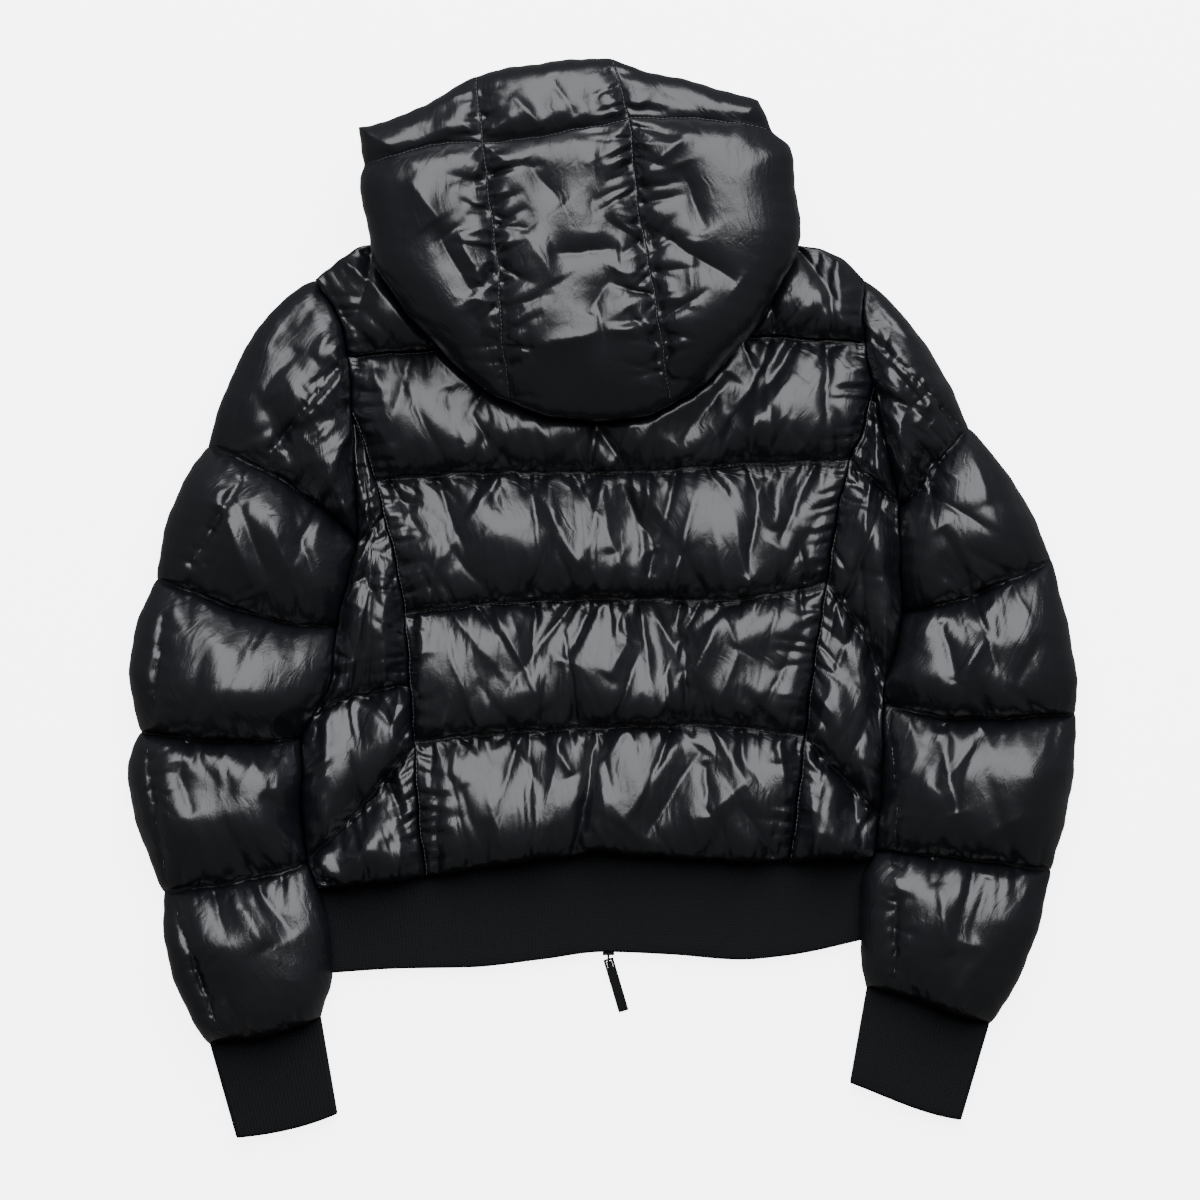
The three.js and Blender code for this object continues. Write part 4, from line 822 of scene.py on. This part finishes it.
def back_areas():
    seams = [back_seam(row) for row in BACK_QUILTING]
    hem_ends = LEFT_PRINCESS[-1][1], RIGHT_PRINCESS[-1][1]
    seams.append(along(hem_seam, left_princess(hem_ends[0]), right_princess(hem_ends[1])))
    return stacked(seams, [*((row[0], row[4]) for row in BACK_QUILTING), hem_ends], back_left, back_right)


def yoke_areas():
    top = along(shoulders, left_arm(SHOULDERS[0][1]), right_arm(SHOULDERS[-1][1]))
    quilting = BACK_QUILTING[0]
    ends = [(top(START)[1], top(END)[1]), (quilting[0], quilting[4])]
    return stacked([top, back_seam(quilting)], ends, left_arm, right_arm)


def side_areas(left_seam, right_seam, top_y, seams):
    hem_left, hem_right = float(hem_seam(left_seam(HEM_SEAM_Y))), float(hem_seam(right_seam(HEM_SEAM_Y)))
    rows = [(top_y, top_y, 0), *seams, (hem_left, hem_right, 0)]
    lines = [sagging((left_seam(a), a), (right_seam(b), b), sag, sag) for a, b, sag in rows]
    lines[-1] = along(hem_seam, left_seam(hem_left), right_seam(hem_right))
    return stacked(lines, rows, left_seam, right_seam)


def make_panel(name, areas, rows, columns, height=back_height, base=None, sides=(True, True),
               quilted=True, **cloth):
    creases = panel_creases(areas, sides, quilted)

    def shape_at(counts, across):
        return grid_over(areas, counts, across, height, creases)
    p = make_cloth(shape_at, rows, columns, **cloth)
    piece = add_pad(name, p, base or (lambda y: lining(y) + 0.6))
    finish_piece(piece, NYLON, name)
    return p


def make_back():
    left = side_areas(left_arm, left_princess, LEFT_SIDE_TOP, LEFT_SIDE_SEAMS)
    right = side_areas(right_princess, right_arm, RIGHT_SIDE_TOP, RIGHT_SIDE_SEAMS)
    return [
        make_panel("back_centre", back_areas(), [16, 16, 16, 16], 54),
        make_panel("back_yoke", yoke_areas(), [12], 70),
        make_panel("back_side_left", left, [14, 22, 10, 14], 14),
        make_panel("back_side_right", right, [10, 18, 18, 10], 12),
    ]


# Fronts: the side the jacket lies on, flat, with its quilting pressed in from below
FRONT_QUILTING = [470, 372, 272, 170]
FRONT_GROOVE, GROOVE_WIDTH = 2.6, 5
UNDER_SLEEVE = 2.0  # how far the fronts and the hem reach under the sleeves
ZIP_X, ZIP_START, ZIP_END = 5.0, 15.5, 546.0
TAPE_WIDTH, TAPE_UNDER, TAPE_TOP = 11.0, 0.7, 1.3


def groove(distance):
    return np.exp(-(distance / GROOVE_WIDTH) ** 1.2)


def front_height(xy, _, to_side, *rest):
    grooves = sum(groove(np.abs(xy[..., 1] - line)) for line in FRONT_QUILTING)
    return FRONT_GROOVE * grooves * np.clip(to_side / 20, 0, 1)


def make_front(side):
    sign, arm = SIDES[side], ARMS[side]

    def outer(y):
        return arm(y) + sign * UNDER_SLEEVE
    top_y = SLEEVES[side][0][1] - 2.0  # just below the armhole's upper end
    hem_y = float(hem_seam(outer(HEM_SEAM_Y)))
    zip_edge = ZIP_X + sign * (TAPE_WIDTH + 0.4)
    edges = [down(outer, top_y, hem_y),
             straight((zip_edge, ZIP_END), (zip_edge, float(hem_seam(zip_edge))))]
    ends = [(outer(top_y), zip_edge), (outer(hem_y), zip_edge)]
    if side == "right":
        edges.reverse()
        ends = [end[::-1] for end in ends]
    area = patch(along(lambda x: shoulders(x) - 1, *ends[0]), along(hem_seam, *ends[1]), *edges)
    points, _ = grid_over([area], [150], 40, front_height)
    name = f"front_{side}"
    piece = add_pad(name, points, lining)
    finish_piece(piece, NYLON, name)


# Sleeves: flattened tubes that lie on the surface
SIDE_HEIGHT = 0.34  # of a tube at its two edges, as a share of its height
TUBE_SIZE = (70, 60)  # a usual half width and height, which spread the columns evenly
SEAM_REACH = 30  # how far the creases of a sewn seam may run
UNDERSIDE = [(-0.008, 0.0), (-0.4, 0.0), (-0.7, 0.0), (-0.84, 0.0), (-0.93, 0.03), (-0.985, 0.14)]


def tube_profile(count):
    """Places across a flattened tube and heights, evenly spaced from its underside over its top."""
    turn = np.linspace(0, math.pi, 400)
    across = -np.cos(turn)
    height = mix(SIDE_HEIGHT, 1, (1 - np.abs(across) ** 2.6).clip(0) ** 0.55)
    under = np.array(UNDERSIDE)
    line = np.concatenate([under, np.stack([across, height], -1), (under * (-1, 1))[::-1]])
    run = run_along(line * TUBE_SIZE)
    even = np.linspace(0, run[-1], count + 1)
    return np.interp(even, run, line[:, 0]), np.interp(even, run, line[:, 1])


def sleeve_areas(rows, arm):
    """The puffs of a sleeve: their plans, seam heights and full heights."""
    def edge(row, index):
        outer_x, outer_y, inner_y, sag_out, sag_in, _ = row
        if index == 0:
            return down(arm, outer_y, inner_y)
        return sagging((outer_x, outer_y), (arm(inner_y), inner_y), sag_out, sag_in)

    areas = []
    for i in range(0, len(rows) - 2, 2):
        start, puff, end = rows[i:i + 3]
        outer = arc_through(start[:2], puff[:2], end[:2])
        levels = arc_through((0, start[2]), (0, puff[2]), (0, end[2]))

        def inner(t, levels=levels):
            y = levels(t)[..., 1]
            return np.stack([arm(y), y], -1)
        plan = patch(edge(start, i), edge(end, i + 2), outer, inner)
        areas.append((plan, start[5], puff[5], end[5]))
    return areas


def sleeve_shape(rows, arm, folds, creases, counts, columns, mirrored):
    """Points of a sleeve, in rings from the armhole to the cuff seam, and which of them are sewn down."""
    across, profile = tube_profile(columns)
    rings, pins = [], []
    for index, ((plan, start, puff, end), count) in enumerate(zip(sleeve_areas(rows, arm), counts)):
        steps = np.linspace(0, 1, count + 1)[0 if index == 0 else 1:]
        a, v = np.meshgrid(across, steps)
        xy = plan((a + 1) / 2, v)
        seam = mix(start, end, v)
        full = seam + (puff - seam) * slumped(v, *SLEEVE_CREST)
        z = full * np.broadcast_to(profile, v.shape)
        raised = np.clip(2 * profile - 1, 0, 1)
        easing = smooth(np.minimum(v, 1 - v), 0, 0.05)
        folded = fold_depth(xy, folds) + easing * fold_depth(xy, creases, taper=True)
        z = z - raised * np.minimum(folded, 0.4 * full)
        depth = length_of(plan((a + 1) / 2, np.zeros_like(v)) - plan((a + 1) / 2, np.ones_like(v)))
        to_seam = np.minimum(v + (index == 0), 1 - v + (index == len(counts) - 1)) * depth
        z = np.maximum(z, FRONT_GROOVE * groove(to_seam))
        rings.append(np.concatenate([uneven(xy), z[..., None]], -1))
        pin = ((v == 0) | (v == 1)).astype(float)
        pin[:, 0] = pin[:, -1] = 1
        pins.append(pin)
    points, pinned = np.concatenate(rings), np.concatenate(pins)
    return (points[:, ::-1], pinned[:, ::-1]) if mirrored else (points, pinned)


def add_tube(name, p):
    """A closed piece through rings of points: the last point of a ring joins its first."""
    return add_mesh(name, p, tube_faces(*p.shape[:2]), cloth_uv(p))


def make_sleeve(side):
    rows, arm = SLEEVES[side], ARMS[side]
    folds = list(SLEEVE_FOLDS[side])
    plans = [area[0] for area in sleeve_areas(rows, arm)]
    creases = panel_creases(plans, (False, False), long_creases=SLEEVE_CREASES)
    armhole, first_seam = edges_of(plans[0])[:2]
    creases += creases_from(armhole, first_seam, CAP_CREASES)
    for x0, y0, x1, y1 in SLEEVE_SEAMS[side]:
        folds.append((x0, y0, x1, y1, *SEAM_GROOVE))
        aside = np.array((y1 - y0, x0 - x1)) / math.hypot(x1 - x0, y1 - y0) * SEAM_REACH
        for sign in (-1, 1):
            far_edge = straight(np.array((x0, y0)) + sign * aside, np.array((x1, y1)) + sign * aside)
            creases += creases_from(straight((x0, y0), (x1, y1)), far_edge, PUCKERS)

    def shape_at(counts, columns):
        return sleeve_shape(rows, arm, folds, creases, counts, columns, mirrored=side == "right")
    p = make_cloth(shape_at, [20, 17, 17, 19, 18], 44, floor=0.0, swell=0.75)
    name = f"sleeve_{side}"
    piece = add_tube(name, p)
    finish_piece(piece, NYLON, name)
    return p


# The hood, folded over the back
BAND_ENDS = {"left": -184, "left_seam": -92, "right_seam": 21, "right": 132}
TOP_ENDS = {"left": -189, "left_seam": -98, "right_seam": 8, "right": 121}
CROWN_ENDS = {"left": (-75, 430), "left_seam": (-71, 428), "right_seam": (53, 427), "right": (57, 429)}
# The hood's folded layers at their edge: height, inset
LAYER_PROFILE = [
    (0, 9), (3, 5.5), (9, 3.2), (17, 2.6), (24, 4), (28, 7.5), (31, 7.5), (35, 4), (42, 2.6), (50, 3.2),
    (56, 5.2), (60, 8)]


def between(seam, start, end):
    """Follows a seam, eased so that it starts and ends at the given points."""
    def curve(t):
        y = mix(start[1], end[1], t)
        slip = mix(start[0] - seam(start[1]), end[0] - seam(end[1]), t)
        return np.stack([seam(y) + slip, y], -1)
    return curve


def hood_body_area(left_seam, right_seam, left, right):
    top = along(band_seam, BAND_ENDS[left], BAND_ENDS[right])
    bottom = straight(CROWN_ENDS[left], CROWN_ENDS[right])
    if left == "left_seam":
        bottom = along(crown, CROWN_ENDS[left][0], CROWN_ENDS[right][0])
    return patch(top, bottom, between(left_seam, top(START), bottom(START)),
                 between(right_seam, top(END), bottom(END)))


def hood_band_area(left, right):
    top = along(hood_top_edge, TOP_ENDS[left], TOP_ENDS[right])
    bottom = along(band_seam, BAND_ENDS[left], BAND_ENDS[right])
    return patch(top, bottom, straight(top(START), bottom(START)), straight(top(END), bottom(END)))


def make_hood():
    left, right = (hood_left_edge, hood_left_seam), (hood_right_seam, hood_right_edge)
    panels = [
        ("hood_left", hood_body_area(*left, "left", "left_seam"), 34, 20, (False, True)),
        ("hood_centre", hood_body_area(left[1], right[0], "left_seam", "right_seam"), 38, 22, (True, True)),
        ("hood_right", hood_body_area(*right, "right_seam", "right"), 38, 20, (True, False)),
        ("hood_band_left", hood_band_area("left", "left_seam"), 8, 18, (False, True)),
        ("hood_band_centre", hood_band_area("left_seam", "right_seam"), 9, 22, (True, True)),
        ("hood_band_right", hood_band_area("right_seam", "right"), 6, 22, (True, False)),
    ]
    return [make_panel(name, [area], [rows], columns, height=hood_height, base=LAYERS_TOP + 0.5, sides=sides,
                       quilted=False, swell=0.4, gather=0.015, loose=0.02)
            for name, area, rows, columns, sides in panels]


def softened(outline, passes):
    for _ in range(passes):
        outline = mix((np.roll(outline, 1, 0) + np.roll(outline, -1, 0)) / 2, outline, 0.4)
    return outline


def inset_outline(outline, inset):
    way = np.roll(outline, -2, 0) - np.roll(outline, 2, 0)
    normal = np.stack([way[:, 1], -way[:, 0]], -1) / length_of(way)[:, None]
    return outline + inset * normal


def make_hood_layers():
    """The hood's folded layers: a rounded slab over the back, and a block beyond the shoulders."""
    outline = softened(OUTLINE, 8)
    points, faces = [], []

    def stack(plan, rows):
        start = sum(len(ring) for ring in points)
        count = len(plan)
        x, y = outline.T
        for height, inset in rows:
            wave = 0.9 * np.sin(x / 11 + height / 9) + 0.6 * np.sin(y / 7 - height / 6)
            ring = inset_outline(outline, inset + wave[:, None])[plan]
            points.append(np.column_stack([ring, np.full(count, height)]))
        faces.extend(tube_faces(len(rows), count, start))

    over_back = [(PRESSED + 0.5, 4.5)] + [row for row in LAYER_PROFILE if row[0] > PRESSED]
    stack(np.arange(len(outline)), over_back)
    behind_neck = np.flatnonzero(outline[:, 1] > NECK_Y + 8)
    stack(behind_neck, [row for row in LAYER_PROFILE if row[0] < 50])
    piece = add_mesh("hood_layers", np.concatenate(points), faces)
    finish_piece(piece, NYLON, "hood_layers")


# Rib knit
BAND_WALL, BAND_SIDE = 4.0, 3.0  # how wide a band is closed, and rounded, at its sides
BAND_HOLLOW = 0.7  # half the space between its plies
BAND_ROWS = 12
CUFF_START = -0.015  # a little above the sleeve's end, as a share of the cuff


def rib_relief(run):
    """One raised rib to a pitch, flat-topped with narrow valleys."""
    return RIB_DEPTH * (1 - np.abs(np.cos(math.pi * run / RIB_PITCH)) ** 2.4)


def ribbed_section(left, right, thick, split, gap):
    """A ribbed band's outer and inner line: places across and heights, from the split in its
    underside, over its top and back to the split."""
    step = RIB_PITCH / 6
    top = np.arange(left + BAND_SIDE, right - BAND_SIDE + step / 2, step)
    under_left = np.arange(split - gap, left + BAND_SIDE, -step)
    under_right = np.arange(right - BAND_SIDE, split + gap, -step)
    side = np.array([(2.2, 0.35), (0.8, 1.6), (0, thick / 2), (0.8, thick - 1.6), (2.2, thick - 0.35)])
    outer = np.concatenate([
        np.column_stack([under_left, RIB_DEPTH - rib_relief(under_left)]), side + (left, 0),
        np.column_stack([top, thick + rib_relief(top)]), (side * (-1, 1) + (right, 0))[::-1],
        np.column_stack([under_right, RIB_DEPTH - rib_relief(under_right)])])
    inner_x = np.clip(outer[:, 0], left + BAND_WALL, right - BAND_WALL)
    rise = np.where(outer[:, 1] > thick / 2, BAND_HOLLOW, -BAND_HOLLOW)
    return outer, np.column_stack([inner_x, thick / 2 + rise])


def ribbed_band(name, section, place):
    """A wall of rib knit: its section laid along rows, its lips drawn in at both ends."""
    outer, inner = section
    lips = [(0.0, 0.45), (0.012, 0.88), *[(v, 1.0) for v in np.linspace(0.03, 0.965, BAND_ROWS)],
            (0.98, 0.95), (0.992, 0.8), (1.0, 0.45)]
    rings = []
    for v, keep in lips:
        heights = np.concatenate([mix(inner[:, 1], outer[:, 1], keep), inner[::-1, 1]])
        across = np.concatenate([mix(inner[:, 0], outer[:, 0], mix(0.7, 1, keep)), inner[::-1, 0]])
        rings.append(np.column_stack([place(across, v), heights]))
    p = np.array(rings)
    count = len(outer)
    faces = grid_faces(len(lips), 2 * count, closed=True)
    for start in (0, (len(lips) - 1) * 2 * count):
        faces += [[start + i, start + i + 1, start + 2 * count - 2 - i, start + 2 * count - 1 - i]
                  for i in range(count - 1)]
    piece = add_mesh(name, p, faces, cloth_uv(p))
    finish_piece(piece, RIB, name)
    return piece


def make_hem():
    left, right = -225.0, 216.0  # its ends before they are bent to the jacket's sides
    section = ribbed_section(left, right, HEM_THICK, ZIP_X, TAPE_WIDTH + 0.5)

    def place(x, v):
        left_y = mix(hem_seam(-228.0), hem_edge(-215.0), v)
        right_y = mix(hem_seam(210.0), hem_edge(205.0), v)
        bend_left = (left_arm(left_y) - left) * np.clip((ZIP_X - x) / (ZIP_X - left), 0, 1)
        bend_right = (right_arm(right_y) - right) * np.clip((x - ZIP_X) / (right - ZIP_X), 0, 1)
        across = x + bend_left + bend_right + UNDER_SLEEVE * (x - ZIP_X) / (right - ZIP_X)
        return np.column_stack([across, mix(hem_seam(across) + 3, hem_edge(across), v)])
    piece = ribbed_band("hem", section, place)


def make_cuff(side):
    outer_x, outer_y, inner_y, sag_out, sag_in, _ = SLEEVES[side][-1]
    end = CUFFS[side]
    outer, inner = np.array([outer_x, outer_y]), np.array([ARMS[side](inner_y), inner_y])
    top = sagging(outer, inner, sag_out, sag_in)
    bottom = sagging(end[:2], end[2:4], end[4], end[5])
    area = patch(top, bottom, straight(outer, end[:2]), straight(inner, end[2:4]))
    width = float(np.linalg.norm(inner - outer))
    section = ribbed_section(0.0, width, CUFF_THICK, width / 2, 0.05)

    def place(x, v):
        return area(x / width, np.full(len(x), mix(CUFF_START, 1.0, v)))
    piece = ribbed_band(f"cuff_{side}", section, place)


# Zip
TOOTH_PITCH, TOOTH_LENGTH = 2.0, 0.95
TOOTH_TIP, TOOTH_ROOT = 0.6, 2.9  # how far past the zip's middle a tooth reaches, and back over its tape
TOOTH_UNDER, TOOTH_TOP = 0.25, 1.75
PULL_YAW = math.radians(16.5)
EYE_START, EYE_END, EYE_HALF = 1.3, 7.2, 2.1  # the pull tab's eye: from the pivot, and half its width
LOOP_Z, LOOP_DROP, LOOP_HALF = 2.9, 0.35, 0.55  # the pivot's height, how far below it, half thickness


def make_zip(side):
    sign = SIDES[side]
    rows = np.linspace(ZIP_END, ZIP_START, 130)
    across = np.linspace(*sorted((ZIP_X + sign * 0.8, ZIP_X + sign * TAPE_WIDTH)), 9)
    x, y = np.meshgrid(across, rows)
    ring = [np.stack([x, y, np.full_like(x, TAPE_TOP)], -1),
            np.stack([x[:, ::-1], y, np.full_like(x, TAPE_UNDER)], -1)]
    name = f"zip_tape_{side}"
    tape = add_tube(name, np.concatenate(ring, 1))
    finish_piece(tape, TAPE, name)
    shift = TOOTH_PITCH / 2 if side == "right" else 0
    x0, x1 = sorted((ZIP_X - sign * TOOTH_TIP, ZIP_X + sign * TOOTH_ROOT))
    teeth = []
    for y0 in np.arange(ZIP_START, ZIP_END - TOOTH_PITCH, TOOTH_PITCH) + shift:
        y1 = y0 + TOOTH_LENGTH
        corners = (x0, y0), (x1, y0), (x1, y1), (x0, y1)
        teeth.append([(*corner, z) for z in (TOOTH_UNDER, TOOTH_TOP) for corner in corners])
    finish_piece(add_blocks(f"zip_teeth_{side}", teeth), METAL)


def make_pull_loop():
    """A flat loop that fills the pull tab's eye, and rides with the tab."""
    way = np.array((math.sin(PULL_YAW), -math.cos(PULL_YAW)))
    side = np.array((way[1], -way[0]))
    plan = [np.array(PIVOT) + way * down_tab + side * aside
            for down_tab, aside in ((EYE_START, -EYE_HALF), (EYE_START, EYE_HALF),
                                    (EYE_END, EYE_HALF), (EYE_END, -EYE_HALF))]
    points = [(*point, LOOP_Z + rise - LOOP_DROP) for rise in (-LOOP_HALF, LOOP_HALF) for point in plan]
    piece = add_blocks("pull_loop", [points])
    piece.data.materials.append(PULL)
    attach(piece, "pull")


def dress_metal():
    for name, material in (("zip_slider", METAL), ("pull_tab", PULL)):
        node = bpy.data.objects[name]
        node.data.materials.clear()
        node.data.materials.append(material)


# Stitches
STITCH_LENGTH, STITCH_PITCH, STITCH_WIDTH = 2.5, 3.5, 0.55
STITCH_SINK, STITCH_RISE = 0.3, 0.45
STITCH_FACES = [(0, 1, 2, 3), (4, 7, 6, 5), (0, 4, 5, 1), (1, 5, 6, 2), (2, 6, 7, 3), (3, 7, 4, 0)]


def make_stitches(name, lines, surfaces, aside=(0.0, 0.0)):
    """A row of stitches along each plan line, moved aside, on whichever surface point lies nearest."""
    cloud = np.concatenate([p.reshape(-1, 3) for p in surfaces])
    stitches = []
    for line in lines:
        plan = uneven(line(np.linspace(0, 1, 300))) + aside
        run = run_along(plan)
        for at in np.arange(2, run[-1] - STITCH_LENGTH, STITCH_PITCH):
            ends = [np.array([np.interp(place, run, plan[:, i]) for i in (0, 1)])
                    for place in (at, at + STITCH_LENGTH)]
            heights = [cloud[np.argmin(((cloud[:, :2] - end) ** 2).sum(axis=1)), 2] for end in ends]
            way = (ends[1] - ends[0]) / STITCH_LENGTH
            side = np.array([-way[1], way[0]]) * STITCH_WIDTH / 2
            section = ((-side, -STITCH_SINK), (side, -STITCH_SINK),
                       (side * 0.5, STITCH_RISE), (-side * 0.5, STITCH_RISE))
            stitches.append([(*(end + offset), height + rise)
                             for end, height in zip(ends, heights) for offset, rise in section])
    # The stitches take the thread whose lighter grey is a painted highlight
    finish_piece(add_blocks(name, stitches, STITCH_FACES), THREAD_WITH_PAINTED_GLINT)


# Stage, light and camera
WHITE = (1, 1, 1, 1)
FLOOR_SIZE, FLOOR_Z, FLOOR_GREY, FLOOR_GLOW = 12, -0.0004, 0.85, 5
ROOM_LIGHT = 0.18
SOFTBOX_AT, SOFTBOX_SIZE, SOFTBOX_POWER = (0.2, 1.9, 2.2), (3.4, 3.3), 225
SOFTBOX_COLOUR = (0.96, 0.99, 1.0)
CAMERA_AT = (-0.0024, -0.0005, 9.0)
PHOTO_WIDTH = 0.936


def set_stage():
    bpy.ops.mesh.primitive_plane_add(size=FLOOR_SIZE, location=(0, 0, FLOOR_Z))
    floor = bpy.context.object
    floor.name = "floor"
    material, shader = node_material("floor", (FLOOR_GREY,) * 3, 0.95)
    set_inputs(material, shader, {"Emission Color": WHITE, "Emission Strength": FLOOR_GLOW})
    floor.data.materials.append(material)
    # A white sheet that the jacket neither mirrors nor is lit by
    floor.visible_glossy = False
    floor.visible_diffuse = False

    world = bpy.data.worlds.new("room")
    bpy.context.scene.world = world
    world.use_nodes = True
    set_inputs(world, world.node_tree.nodes["Background"], {"Color": WHITE, "Strength": ROOM_LIGHT})

    light = bpy.data.lights.new("softbox", "AREA")
    light.shape = "RECTANGLE"
    light.size, light.size_y = SOFTBOX_SIZE
    light.energy = SOFTBOX_POWER
    light.color = SOFTBOX_COLOUR
    lamp = add_object("softbox", light)
    lamp.location = SOFTBOX_AT
    lamp.rotation_euler = (-Vector(SOFTBOX_AT)).to_track_quat("-Z", "Y").to_euler()

    lens = bpy.data.cameras.new("camera")
    lens.lens = lens.sensor_width * CAMERA_AT[2] / PHOTO_WIDTH
    lens.clip_end = 30
    camera = add_object("camera", lens)
    camera.location = CAMERA_AT
    bpy.context.scene.camera = camera


back = make_back()
for side in SIDES:
    make_front(side)
    make_cuff(side)
    make_zip(side)
sleeves = {side: make_sleeve(side) for side in SIDES}
hood = make_hood()
make_hood_layers()
make_hem()
make_pull_loop()
dress_metal()
make_stitches("quilting_stitches", [back_seam(row) for row in BACK_QUILTING], back, (0, -1.5))
uprights = [down(left_princess, 422, 60), down(right_princess, 443, 73)]
make_stitches("seam_stitches", uprights, back, (1.2, 0))
make_stitches("hood_stitches", [down(hood_left_seam, 679, 430), down(hood_right_seam, 693, 430),
                                along(band_seam, -183, 131)], hood)
for side, surface in sleeves.items():
    seams = [straight(seam[:2], seam[2:]) for seam in SLEEVE_SEAMS[side]]
    make_stitches(f"sleeve_stitches_{side}", seams, [surface])
set_stage()
